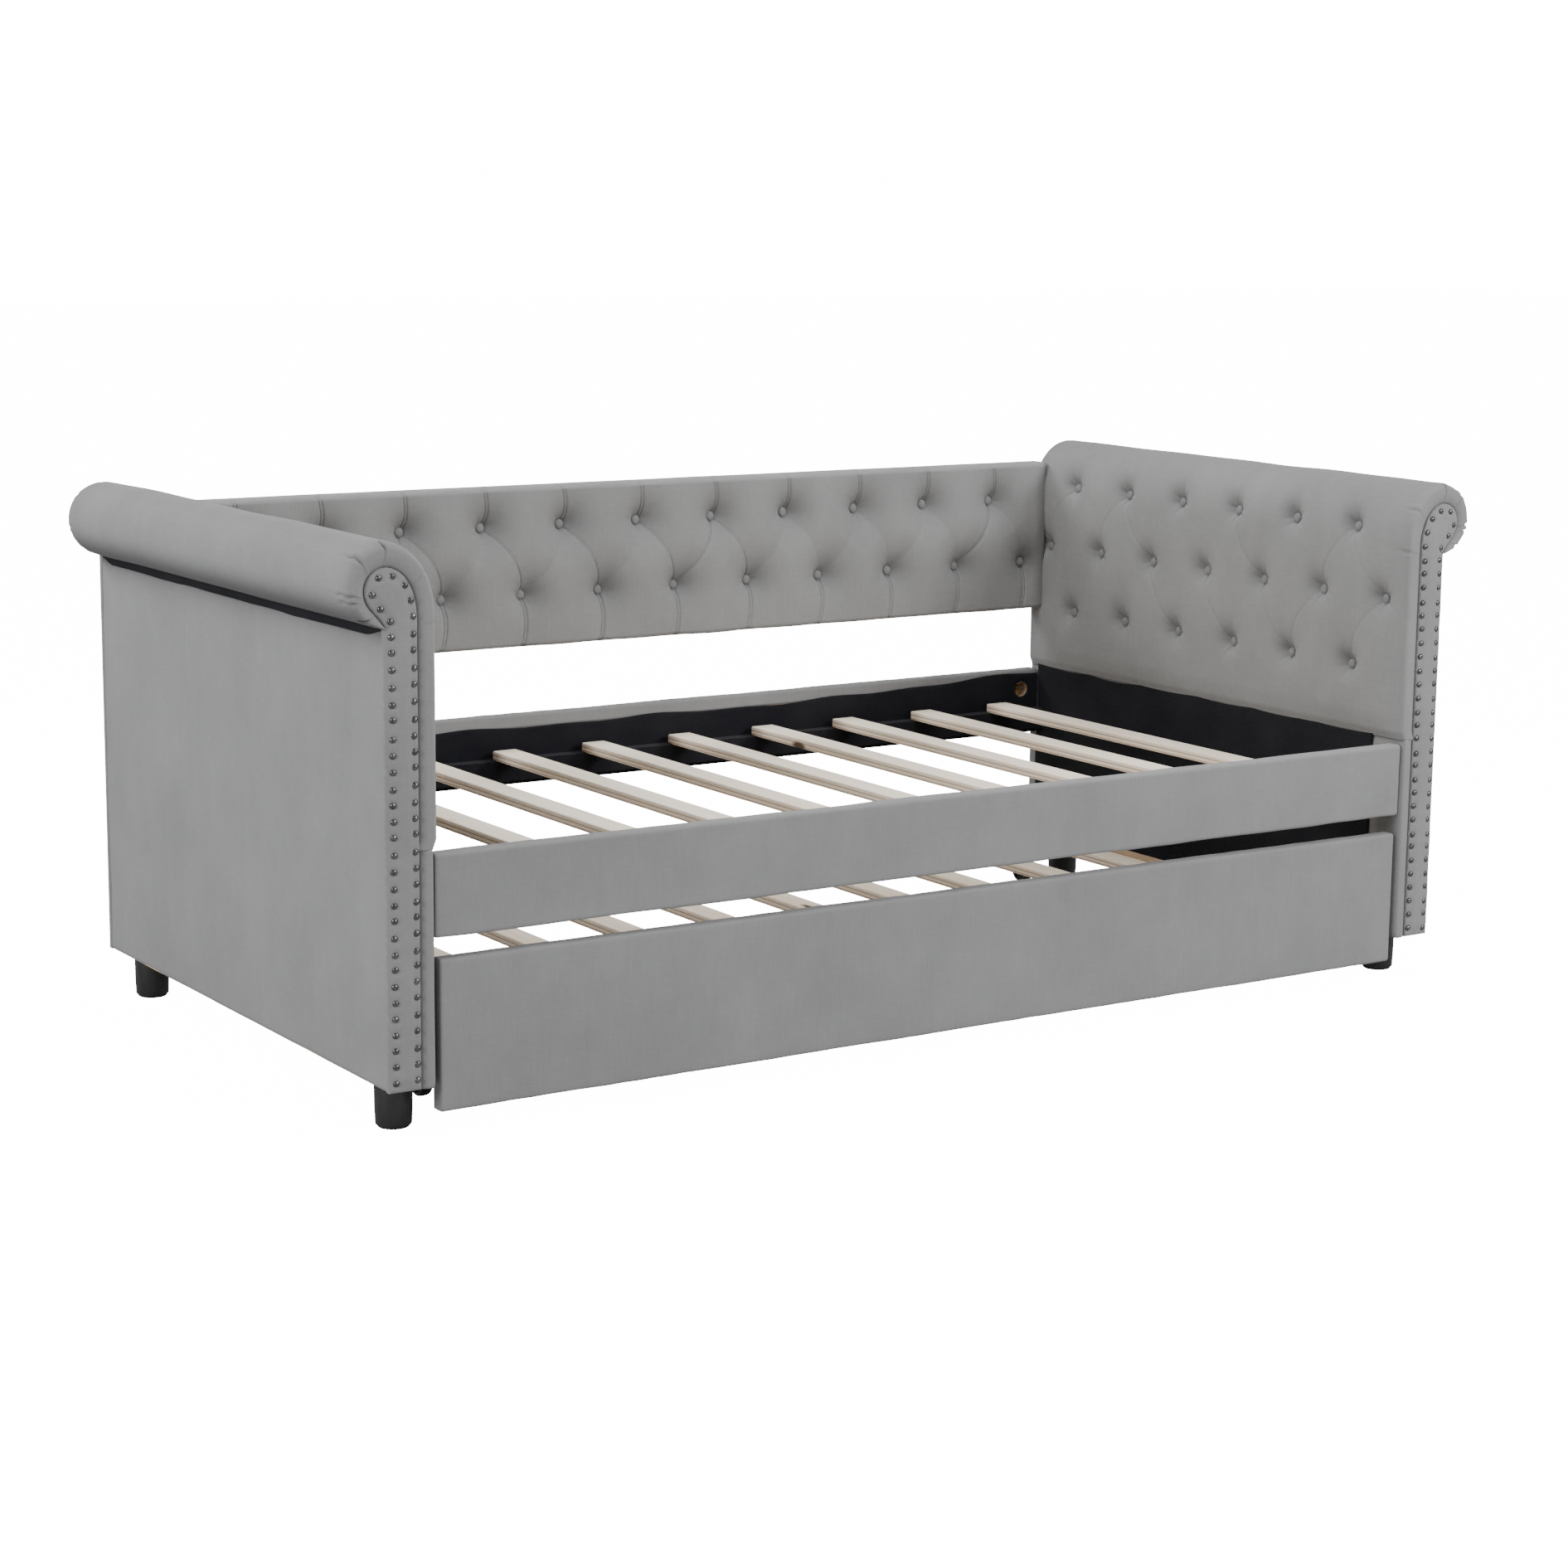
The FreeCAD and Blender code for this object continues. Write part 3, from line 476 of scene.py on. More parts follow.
class Tufting:
    """Depth of a buttoned pad at points (along, up) of its flat face."""

    def __init__(self, buttons, depth, bowl, reach, lean, gather, seed):
        self.buttons = buttons
        self.depth = depth                 # sharp dimple at a button
        self.bowl = bowl                   # wide hollow round it
        self.reach = reach
        self.lean = lean                   # the hollow is deepest to this side of the button
        self.gather = gather               # small wrinkles that radiate from a button
        self.seed = seed
        self.folds = []

    def fold(self, path, crease, broad, width=0.0035, fade_end=1.0, pleat=0.0):
        """A crease along a path of points; a pleat has two edges that far from its middle."""
        self.folds.append((np.asarray(path, float), crease, broad, width, fade_end, pleat))

    def shade(self, along, up, reach, amount):
        """Painted shade: how much darker the colour is made on the shaded side of each button."""
        dark = np.zeros(along.shape)
        for x, z in self.buttons:
            dx = (along - x - self.lean[0] * 1.6) / reach
            dz = (up - z - self.lean[1] * 1.3) / reach
            dark = np.maximum(dark, amount * np.exp(-(dx ** 2 + dz ** 2) ** 0.8))
        return dark

    def height_at(self, along, up):
        """Height at one point."""
        return self.height(np.array([along]), np.array([up]))[0]

    def height(self, along, up):
        low = np.zeros(along.shape)
        near = np.zeros(along.shape)
        wrinkles = np.zeros(along.shape)
        draw = np.random.default_rng(self.seed)
        for x, z in self.buttons:
            dx = along - x
            dz = up - z
            gap = np.hypot(dx, dz)
            low = np.maximum(low, self.depth * np.exp(-np.maximum(gap - 0.0095, 0) / 0.0095))
            shape = ((dx - self.lean[0]) / self.reach[0]) ** 2 + ((dz - self.lean[1]) / self.reach[1]) ** 2
            near = np.maximum(near, self.bowl * np.exp(-shape ** 0.75))
            angle = np.arctan2(dz, dx)
            starburst = np.sin(7 * angle + draw.uniform(0, 6)) + 0.8 * np.sin(11 * angle + draw.uniform(0, 6))
            wrinkles += self.gather * starburst * np.exp(-((gap - 0.017) / 0.010) ** 2)
        crease_total = np.zeros(along.shape)
        broad_total = np.zeros(along.shape)
        for path, crease, broad, width, fade_end, pleat in self.folds:
            box_low = path.min(axis=0) - 0.06
            box_high = path.max(axis=0) + 0.06
            inside = (along > box_low[0]) & (along < box_high[0]) & (up > box_low[1]) & (up < box_high[1])
            if not inside.any():
                continue
            x = along[inside]
            z = up[inside]
            best = np.full(x.shape, 9.0)
            share = np.zeros(x.shape)
            steps = len(path) - 1
            for k in range(steps):
                start = path[k]
                line = path[k + 1] - start
                t = np.clip(((x - start[0]) * line[0] + (z - start[1]) * line[1]) / (line @ line), 0, 1)
                gap = np.hypot(x - start[0] - t * line[0], z - start[1] - t * line[1])
                closer = gap < best
                best = np.where(closer, gap, best)
                share = np.where(closer, (k + t) / steps, share)
            strength = 1 - (1 - fade_end) * share
            fine = np.exp(-(np.abs(best - pleat) / width) ** 1.3)
            crease_total[inside] = np.maximum(crease_total[inside], crease * strength * fine)
            wide = np.exp(-(best / 0.022) ** 1.3)
            broad_total[inside] = np.maximum(broad_total[inside], broad * strength * wide)
        return wrinkles - (low + near + crease_total + broad_total)


def staggered(rows, pitch):
    """Button places of rows given as (count, height)."""
    return [((k - (count - 1) / 2) * pitch, height) for count, height in rows for k in range(count)]


def curved_fold(start, end, bend, count=9):
    """A fold that leaves its start at a slant and comes to its end nearly straight down."""
    start = np.array(start)
    end = np.array(end)
    side = np.array([end[0] - start[0], 0.0])
    hang = np.array([0.0, end[1] - start[1]])
    if bend > 0:
        return bezier([start, start + side * 0.62 + hang * 0.30, end - hang * 0.40, end], count)
    return bezier([start, start + hang * 0.40, end - side * 0.62 - hang * 0.30, end], count)


ARM_LEVELS = (0.568, 0.697, 0.823)
ARM_COUNTS = (6, 7, 6)
ARM_MARGIN = 0.064
BACK_LEVELS = (0.664, 0.793)
BACK_COUNTS = (12, 11)
BACK_MARGIN = 0.056
ARM_PITCH = (BACK - FRONT + 0.003 - 2 * ARM_MARGIN) / 6
BACK_PITCH = 2 * (BACK_HIGH.x - BACK_MARGIN) / 11


def arm_tufting(seed):
    draw = np.random.default_rng(seed)
    buttons = staggered(list(zip(ARM_COUNTS, ARM_LEVELS)), ARM_PITCH)
    tufts = Tufting(buttons, 0.0085, 0.0085, (0.026, 0.030), (0.010, 0.008), 0.0007, seed)
    by_level = {level: [b for b in buttons if b[1] == level] for level in ARM_LEVELS}
    for lower, upper in zip(ARM_LEVELS, ARM_LEVELS[1:]):
        for high in by_level[upper]:
            for low in by_level[lower]:
                if abs(high[0] - low[0]) < 0.6 * ARM_PITCH:
                    path = curved_fold(high, low, 1 if low[0] > high[0] else -1)
                    crisp = draw.random() < 0.42
                    crease = 0.0017 if crisp else 0.0001
                    tufts.fold(path, crease, draw.uniform(0.0001, 0.0006), width=0.0017)
    for x, z in by_level[ARM_LEVELS[-1]]:
        lean = draw.uniform(-0.004, 0.006)
        path = [(x, z), (x + lean, z + 0.025), (x + lean * 0.5, z + draw.uniform(0.045, 0.062))]
        tufts.fold(path, draw.uniform(0.0020, 0.0032), 0.0012, width=0.0020, fade_end=0.2, pleat=0.0022)
    for x, z in by_level[ARM_LEVELS[0]]:
        lean = draw.uniform(-0.004, 0.004)
        path = [(x, z), (x + lean, z - 0.02), (x + lean, z - draw.uniform(0.03, 0.05))]
        tufts.fold(path, draw.uniform(0.0008, 0.0016), 0.0010, width=0.0026, fade_end=0.0)
    return tufts


def back_tufting(seed):
    draw = np.random.default_rng(seed)
    low_row, high_row = BACK_LEVELS
    buttons = staggered(list(zip(BACK_COUNTS, BACK_LEVELS)), BACK_PITCH)
    tufts = Tufting(buttons, 0.0090, 0.0150, (0.036, 0.040), (0.014, 0.004), 0.0003, seed)
    lower = [b for b in buttons if b[1] == low_row]
    upper = [b for b in buttons if b[1] == high_row]
    for k, high in enumerate(upper):
        for low in lower:
            if abs(high[0] - low[0]) < 0.6 * BACK_PITCH:
                if low[0] > high[0]:
                    tufts.fold(curved_fold(high, low, 1), draw.choice((0.0006, 0.0010, 0.0024)),
                               draw.uniform(0.0024, 0.0040), width=0.0015)
                else:
                    crisp = k % 4 == 2
                    tufts.fold(curved_fold(high, low, -1), 0.0030 if crisp else draw.uniform(0.0002, 0.0007),
                               draw.uniform(0.0020, 0.0036), width=0.0022)
    for x, z in upper:
        lean = draw.uniform(-0.002, 0.006)
        path = bezier([(x + 0.004, z), (x + 0.020, z + 0.03), (x + 0.006, z + 0.05),
                       (x + lean, BACK_HIGH.z + 0.02)], 9)
        tufts.fold(path, 0.0030, 0.0030, width=0.0015, pleat=0.0030, fade_end=0.9)
    for x, z in lower:
        lean = draw.uniform(-0.012, -0.002)
        path = bezier([(x, z), (x + 0.008, z - 0.03), (x + 0.010, z - 0.06),
                       (x + lean, BACK_LOW.z - 0.02)], 9)
        tufts.fold(path, 0.0028, 0.0030, width=0.0015, pleat=0.0030, fade_end=0.9)
    return tufts


def button_shape(radius, seed):
    """A fabric-covered button: domed, with a tucked rim and a little unevenness."""
    draw = np.random.default_rng(seed)
    thick = 0.0045
    profile = [(0.0, -thick * 0.5), (radius * 0.72, -thick * 0.5), (radius * 0.94, -thick * 0.25),
               (radius, 0.0), (radius * 0.97, thick * 0.22), (radius * 0.86, thick * 0.55),
               (radius * 0.62, thick * 0.86), (radius * 0.32, thick * 0.98), (0.0, thick)]
    points, faces = lathe(profile, 20)
    angle = np.arctan2(points[:, 1], points[:, 0])
    wobble = 1 + 0.02 * np.sin(3 * angle + draw.uniform(0, 6))
    wobble += 0.015 * np.sin(5 * angle + draw.uniform(0, 6))
    points[:, :2] *= wobble[:, None]
    return points, faces


# ---------------------------------------------------------------- arms

def quarter(center, start, end, count):
    """Points from start to end along a quarter ellipse about a centre."""
    angle = np.linspace(0, math.pi / 2, count)[:, None]
    center = np.array(center)
    return center + (np.array(start) - center) * np.cos(angle) + (np.array(end) - center) * np.sin(angle)


def joined(parts):
    """Curve parts end to end, without the doubled points."""
    return np.concatenate([parts[0]] + [part[1:] for part in parts[1:]])


def arc(center, radius, start, end, count):
    """Points on a circle between two angles."""
    angle = np.linspace(start, end, count)
    return stacked(center[0] + radius * np.cos(angle), center[1] + radius * np.sin(angle))


def up_and_over(depth, foot, shoulder_height, center, radius):
    """Curve parts up an arm's inner side, over its head and on to the head's outermost point."""
    shoulder = (depth, shoulder_height)
    straight = np.linspace((depth, foot), shoulder, 128)
    over = quarter((center[0], shoulder_height), shoulder, (center[0], center[1] + radius), 84)
    return [straight, over, arc(center, radius, math.pi / 2, math.pi, 72)]


def roll_path():
    """Inner face, over the roll, round its outside and tucked in under it: (inboard, up) points."""
    center = (ROLL_INSET, ROLL_HEIGHT)
    under = arc(center, ROLL_RADIUS, math.pi, 1.5 * math.pi - 0.10, 54)
    tuck = bezier([under[-1], under[-1] + (0.006, -0.001), (0.010, NECK_HEIGHT + 0.001),
                   (0.014, NECK_HEIGHT + 0.010)], 7)
    inner = up_and_over(PAD_DEPTH, PAD_FOOT + 0.003, ROLL_SHOULDER, center, ROLL_RADIUS)
    return joined(inner + [under, tuck])


def facing_path(foot):
    """Outline of the facing from its inner foot over the head to the neck, matched to roll_path()."""
    inner = up_and_over(FACING_WIDTH, foot, HEAD_SHOULDER, (HEAD_INSET, HEAD_HEIGHT), HEAD_RADIUS)
    outermost = inner[-1][-1]
    neck = (0.001, NECK_HEIGHT)
    under = bezier([outermost, outermost + (0.0, -0.024), (-0.013, NECK_HEIGHT + 0.024), neck], 54)
    tuck = np.linspace(neck, (0.003, NECK_HEIGHT - 0.002), 7)
    return joined(inner + [under, tuck])


def path_lengths(path):
    return np.concatenate([[0], np.cumsum(np.linalg.norm(np.diff(path, axis=0), axis=1))])


def path_normals(path):
    """Unit normals of a flat path, towards its first coordinate where it climbs."""
    step = np.gradient(path, axis=0)
    normal = stacked(step[:, 1], -step[:, 0])
    return normal / np.linalg.norm(normal, axis=1, keepdims=True)


# pleats gathered on the end of the roll: place as a share of the path, depth, reach back along the arm
ROLL_PLEATS = ((0.478, 0.0026, 0.004), (0.585, 0.0024, 0.006), (0.705, 0.0052, 0.014), (0.775, 0.0056, 0.018),
               (0.858, 0.0056, 0.016), (0.873, 0.0044, 0.010), (0.925, 0.0034, 0.008))


def arm_sheet(outline, inner, along, ring_count=14):
    """Rows of an arm layer from the facing's edge, round the front, along the arm and round the back.

    Each row is (inboard, y, up) along the outline. Also gives how much of a ring each row is.
    """
    turn = np.linspace(0, 1, ring_count)
    puff = np.minimum(RING_PUFF, 0.8 * np.linalg.norm(outline - inner, axis=1))

    def ring(share, edge, inward, sink):
        flat = inner + (outline - inner) * np.sin(share * math.pi / 2) ** 0.9
        lift = puff * (1 - np.cos(np.clip((share - 0.45) / 0.55, 0, 1) * math.pi / 2))
        groove = sink * np.clip(1 - share / 0.30, 0, 1) ** 2
        return stacked(flat[:, 0], edge + inward * (lift + groove), flat[:, 1])

    start = LAYER_FRONT + puff
    end = LAYER_BACK - puff
    rows = [ring(share, LAYER_FRONT, 1, FACING_SINK * 2.2) for share in turn]
    rows += [stacked(outline[:, 0], start + (end - start) * share, outline[:, 1]) for share in along]
    rows += [ring(share, LAYER_BACK, -1, REAR_SINK) for share in turn[::-1]]
    return np.array(rows), np.concatenate([turn, np.ones(len(along)), turn[::-1]])


def to_world(side, inboard, y, up):
    """Points of one arm from places measured inboard from its outer face."""
    return stacked(side * (OUTER - inboard), y, up)


def closed_layer(rows, side):
    """Arm layer rows closed round from the last to the first, with a face at each end of the rows."""
    count, across = rows.shape[:2]
    faces = grid_faces(count, across, wrap_rows=True)
    faces.append(list(range(0, count * across, across)))
    faces.append(list(range(across - 1, count * across, across)))
    return to_world(side, *np.moveaxis(rows, -1, 0)), faces


def arm_pad(word, side):
    path = roll_path()
    edge = facing_path(PAD_FOOT + 0.003)
    tufts = arm_tufting(11 if side > 0 else 17)
    places = [np.linspace(FRONT, BACK, 380)]
    places += [y + np.linspace(-0.012, 0.012, 15) for y in sorted({round(b[0], 4) for b in tufts.buttons})]
    places = (np.unique(np.round(np.concatenate(places), 5)) - FRONT - 0.022) / (BACK - FRONT - 0.044)
    rows, marks = arm_sheet(path, edge, places[(places > 0.001) & (places < 0.999)])
    lengths = path_lengths(path)
    share = lengths / lengths[-1]
    normals = path_normals(path)
    up = lengths + path[0, 1]
    y = rows[..., 1]
    level = np.broadcast_to(up, y.shape)

    # the pad swells between its edges and sinks at the buttons
    inside = smoothstep(level, PAD_FOOT, PAD_FOOT + 0.05) * (1 - smoothstep(level, 0.86, 0.96))
    ends = smoothstep(y, FRONT, FRONT + 0.06) * (1 - smoothstep(y, BACK - 0.05, BACK))
    swell = ARM_SWELL * inside * ends
    foot = -0.006 * (1 - smoothstep(level, PAD_FOOT, PAD_FOOT + 0.020))
    depth = tufts.height(y, level) * (1 - smoothstep(level, 0.89, 0.93))
    depth = depth * smoothstep(marks, 0.7, 1.0)[:, None]
    wave = 0.0009 * soft_noise(y, level, 5 + side, 0.22) * smoothstep(marks, 0.4, 1.0)[:, None]

    # pleats gathered round the facing's head, at both ends
    gathers = np.zeros(y.shape)
    for place, cut, reach in ROLL_PLEATS:
        for end, depth_share in ((FRONT, 1.0), (BACK, 0.25)):
            away = np.abs(y - end)
            wander = 0.0016 * np.sin(away * 190 + place * 40)
            line = np.abs((share - place) * lengths[-1] + wander)
            fade = np.exp(-(away / (reach + 0.018)) ** 2) * smoothstep(marks, 0.0, 0.35)[:, None]
            crease = np.exp(-(line / 0.0021) ** 1.2) - 0.30 * np.exp(-((line - 0.007) / 0.004) ** 2)
            gathers -= depth_share * cut * fade * crease
    amount = swell + foot + depth + wave + gathers
    rows[..., 0] += normals[None, :, 0] * amount
    rows[..., 2] += normals[None, :, 1] * amount
    # painted shade: darker beside the buttons, towards the bottom of the roll, in a band over its top and in
    # the gathered pleats
    nap_and_painted_shade = tufts.shade(y, level, 0.020, 0.42)
    roll_painted_shade = smoothstep(share, 0.840, 0.948) + 0.22 * np.exp(-((share - 0.69) / 0.06) ** 2)
    nap_and_painted_shade = nap_and_painted_shade + roll_painted_shade[None, :] * smoothstep(marks, 0.3, 1.0)[:, None]
    nap_and_painted_shade = nap_and_painted_shade - 75 * np.minimum(gathers, 0)
    piece = make_piece(f"arm_{word}_tufted_pad", closed_layer(rows, side), VELVET, nap_and_painted_shade=nap_and_painted_shade)
    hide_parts(f"arm_{word}_pad")

    buttons = []
    for k, (along, height) in enumerate(tufts.buttons):
        nearest = np.argmin(np.abs(up - height))
        out = normals[nearest]
        spot = path[nearest] + out * (tufts.height_at(along, height) + ARM_SWELL + BUTTON_SEAT)
        draw = np.random.default_rng(k + 40)
        aim = Vector((-side * out[0], draw.uniform(-BUTTON_TILT, BUTTON_TILT),
                      out[1] + draw.uniform(-BUTTON_TILT, BUTTON_TILT)))
        place = (side * (OUTER - spot[0]), along, spot[1])
        buttons.append(placed(button_shape(BUTTON_RADIUS, k + 100), place, aim))
    made = make_piece(f"arm_{word}_covered_buttons", many(buttons), BUTTON_VELVET)
    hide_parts(f"arm_{word}_buttons")


def arm_inner_cover(word, side):
    """Flat upholstery inside the arm below the pad, rounded over at both ends like the pad."""
    heights = np.linspace(ARM_FOOT, PAD_FOOT + 0.004, 90)
    rows, marks = arm_sheet(stacked(BORDER_DEPTH, heights), stacked(FACING_WIDTH, heights),
                            np.linspace(0, 1, 122)[1:-1])
    y = rows[..., 1]
    level = np.broadcast_to(heights, y.shape)
    hem = smoothstep(level, ARM_FOOT, ARM_FOOT + 0.010)
    hem = hem * (1 - smoothstep(level, PAD_FOOT - 0.012, PAD_FOOT + 0.004))
    amount = 0.0008 * soft_noise(y, level, 31 + side, 0.25) - 0.003 * (1 - hem)
    rows[..., 0] += amount * smoothstep(marks, 0.4, 1.0)[:, None]
    piece = make_piece(f"arm_{word}_flat_upholstery", closed_layer(rows, side), VELVET)
    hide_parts(f"arm_{word}_inner_cover")


def facing_outline():
    """The whole outline of a facing, (inboard, up), from its inner foot round to its outer foot."""
    inner_edge = facing_path(ARM_FOOT)[:-6]
    outer_edge = np.linspace((0.0, NECK_HEIGHT - 0.004), (0.0, ARM_FOOT), 200)
    return np.concatenate([inner_edge, outer_edge])


def nail_spots(side):
    """Nail places round the facing: up the inner edge, over the head and down the outer edge."""
    draw = np.random.default_rng(23 + side)
    outline = facing_outline()
    inward = -path_normals(outline)
    gap = 0.0112 - 0.0040 * smoothstep(outline[:, 0], 0.2 * FACING_WIDTH, 0.9 * FACING_WIDTH)[:, None]
    line = outline + inward * gap
    line_length = path_lengths(line)
    first = line_length[np.argmax(line[:, 1] > ARM_FOOT + 0.012)]
    last = line_length[len(line) - 1 - np.argmax(line[::-1, 1] > ARM_FOOT + 0.012)]
    count = round((last - first) / NAIL_PITCH) + 1
    places = np.linspace(first, last, count) + draw.uniform(-0.0022, 0.0022, count)
    spots = np.stack([np.interp(places, line_length, line[:, k]) for k in range(2)], -1)
    spots[:, 0] += draw.uniform(-0.0008, 0.0008, count)
    return spots


def arm_facing(word, side):
    spots = nail_spots(side)
    flat, faces, edge = filled([facing_outline()], 0.0028)
    y = FRONT + FACING_SINK * np.exp(-edge / 0.0018) - 0.0030 * smoothstep(edge, 0.004, 0.022)
    y += 0.0004 * soft_noise(flat[:, 0], flat[:, 1], 7 + side, 0.06)
    for u, z in spots:
        y += 0.0018 * np.exp(-(np.hypot(flat[:, 0] - u, flat[:, 1] - z) / 0.0072) ** 2)
    front = to_world(side, flat[:, 0], y, flat[:, 1])
    rear = to_world(side, flat[:, 0], FACING_HIGH.y, flat[:, 1])
    piece = make_piece(f"arm_{word}_front_facing", plate(front, rear, faces), VELVET_SIDE, sharp=0.9)
    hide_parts(f"arm_{word}_facing")

    heads = []
    draw = np.random.default_rng(77 + side)
    profile = [(0.0, -0.001), (0.0050, -0.001), (0.0052, 0.0002), (0.0049, 0.0009), (0.0041, 0.0019),
               (0.0028, 0.0027), (0.0014, 0.0030), (0.0, 0.0031)]
    for u, z in spots:
        tilt = Vector((draw.uniform(-0.1, 0.1), -1, draw.uniform(-0.1, 0.1)))
        heads.append(placed(lathe(profile, 18), (side * (OUTER - u), FRONT + 0.0003, z), tilt))
    nails = make_piece(f"arm_{word}_nail_heads", many(heads), NAIL_METAL)
    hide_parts(f"arm_{word}_nails")


def arm_back_panel(word, side):
    """Plain velvet panel that closes the rear end of an arm inside the puffed ring."""
    flat, faces, edge = filled([facing_outline()], 0.006)
    y = BACK - 0.0012 * np.exp(-edge / 0.0025) + 0.0006 * smoothstep(edge, 0.004, 0.022)
    front = to_world(side, flat[:, 0], y, flat[:, 1])
    rear = to_world(side, flat[:, 0], BACK - 0.012, flat[:, 1])
    piece = make_piece(f"arm_{word}_rear_panel", plate(front, rear, faces), VELVET_SIDE)


def arm_outer_cover(word, side):
    """Velvet on the outer side: nearly flat, a hem at the foot, its top edge turned in under the roll."""
    top = OUTER_TOP
    first = FRONT + 0.0050
    heights = spans((ARM_FOOT, ARM_FOOT + 0.012, 7), (ARM_FOOT + 0.02, top - 0.02, 110),
                    (top - 0.012, top, 12))
    ys = spans((first, FRONT + 0.012, 6), (FRONT + 0.02, BACK - 0.02, 150), (BACK - 0.012, BACK, 6))
    y, z = np.meshgrid(ys, heights)
    taper = smoothstep(y, FRONT, FRONT + 0.07) * (1 - smoothstep(y, BACK - 0.06, BACK))
    lift = 0.007 - 0.012 * taper + 0.0008 * soft_noise(y, y * 0, 8 + side, 0.20)
    z = z + lift * smoothstep(z, top - 0.03, top)
    amount = 0.0011 * soft_noise(y, z, 61 + side, 0.34) + 0.0004 * soft_noise(y, z, 3 + side, 0.09)
    amount = np.minimum(amount, 0.0003)         # never level with the side of the facing
    turned = 0.0022 * rounded(top - heights[:, None], 0.004)
    corner = 0.004 * rounded(BACK - y, 0.008)
    hem = 0.0022 * (1 - smoothstep(z, ARM_FOOT, ARM_FOOT + 0.006))
    front = to_world(side, 0.0006 - amount + turned + corner + hem, y, z)
    rear = to_world(side, 0.0145, np.clip(y, first, BACK - 0.0014), z)
    # painted shadow of the roll: the outer velvet is darker towards its top edge
    shadow = 0.55 * np.exp(-np.maximum(top - z, 0) / 0.010)
    piece = make_piece(f"arm_{word}_outer_velvet", slab(front, rear), VELVET_SIDE,
                       nap_and_painted_shade=np.tile(shadow.ravel(), 2))
    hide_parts(f"arm_{word}_outer_cover")

    # black strip in the crease under the roll that stands in for the crease's shadow: painted shade as a dark
    # sheet
    ys = np.linspace(FRONT + 0.010, BACK - 0.004, 120)
    y, z = np.meshgrid(ys, np.linspace(top - 0.010, NECK_HEIGHT + 0.002, 8))
    inboard = 0.0018 + 0.0002 * soft_noise(y, z, 12, 0.1)
    shape = slab(to_world(side, inboard, y, z), to_world(side, inboard + 0.0009, y, z))
    strip = make_piece(f"arm_{word}_crease_shadow_strip", shape, BLACK_CLOTH)


def arm_lining(word, side):
    """Black dust cloth inside the arm, stapled with a slack, uneven top edge."""
    low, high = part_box(f"arm_{word}_lining")
    ys = np.linspace(low.y, high.y - 0.006, 170)
    y, t = np.meshgrid(ys, np.linspace(0, 1, 60))
    scallop = 0.0035 * np.abs(np.sin((y - low.y) * math.pi / 0.168)) + 0.0025 * soft_noise(y, y * 0, 9, 0.36)
    z = low.z + (PAD_FOOT + 0.006 - scallop - low.z) * t
    off = 0.0012 + 0.0012 * (1 + soft_noise(y, z, 15 + side, 0.12)) * (1 - t ** 4)
    off = off * smoothstep(t, -0.05, 0.08) + 0.0008
    shape = slab(to_world(side, BORDER_DEPTH + off, y, z), to_world(side, BORDER_DEPTH + off - 0.0009, y, z))
    piece = make_piece(f"arm_{word}_black_lining", shape, BLACK_CLOTH)
    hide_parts(f"arm_{word}_lining")


for word, side in SIDES.items():
    arm_pad(word, side)
    arm_inner_cover(word, side)
    arm_facing(word, side)
    arm_back_panel(word, side)
    arm_outer_cover(word, side)
    arm_lining(word, side)


# ---------------------------------------------------------------- back

def pushed(x, path, normals, amount):
    """Points of a (y, z) path at every x, moved out along the path's normals."""
    return stacked(x, path[:, 0] + normals[:, 0] * amount, path[:, 1] + normals[:, 1] * amount)


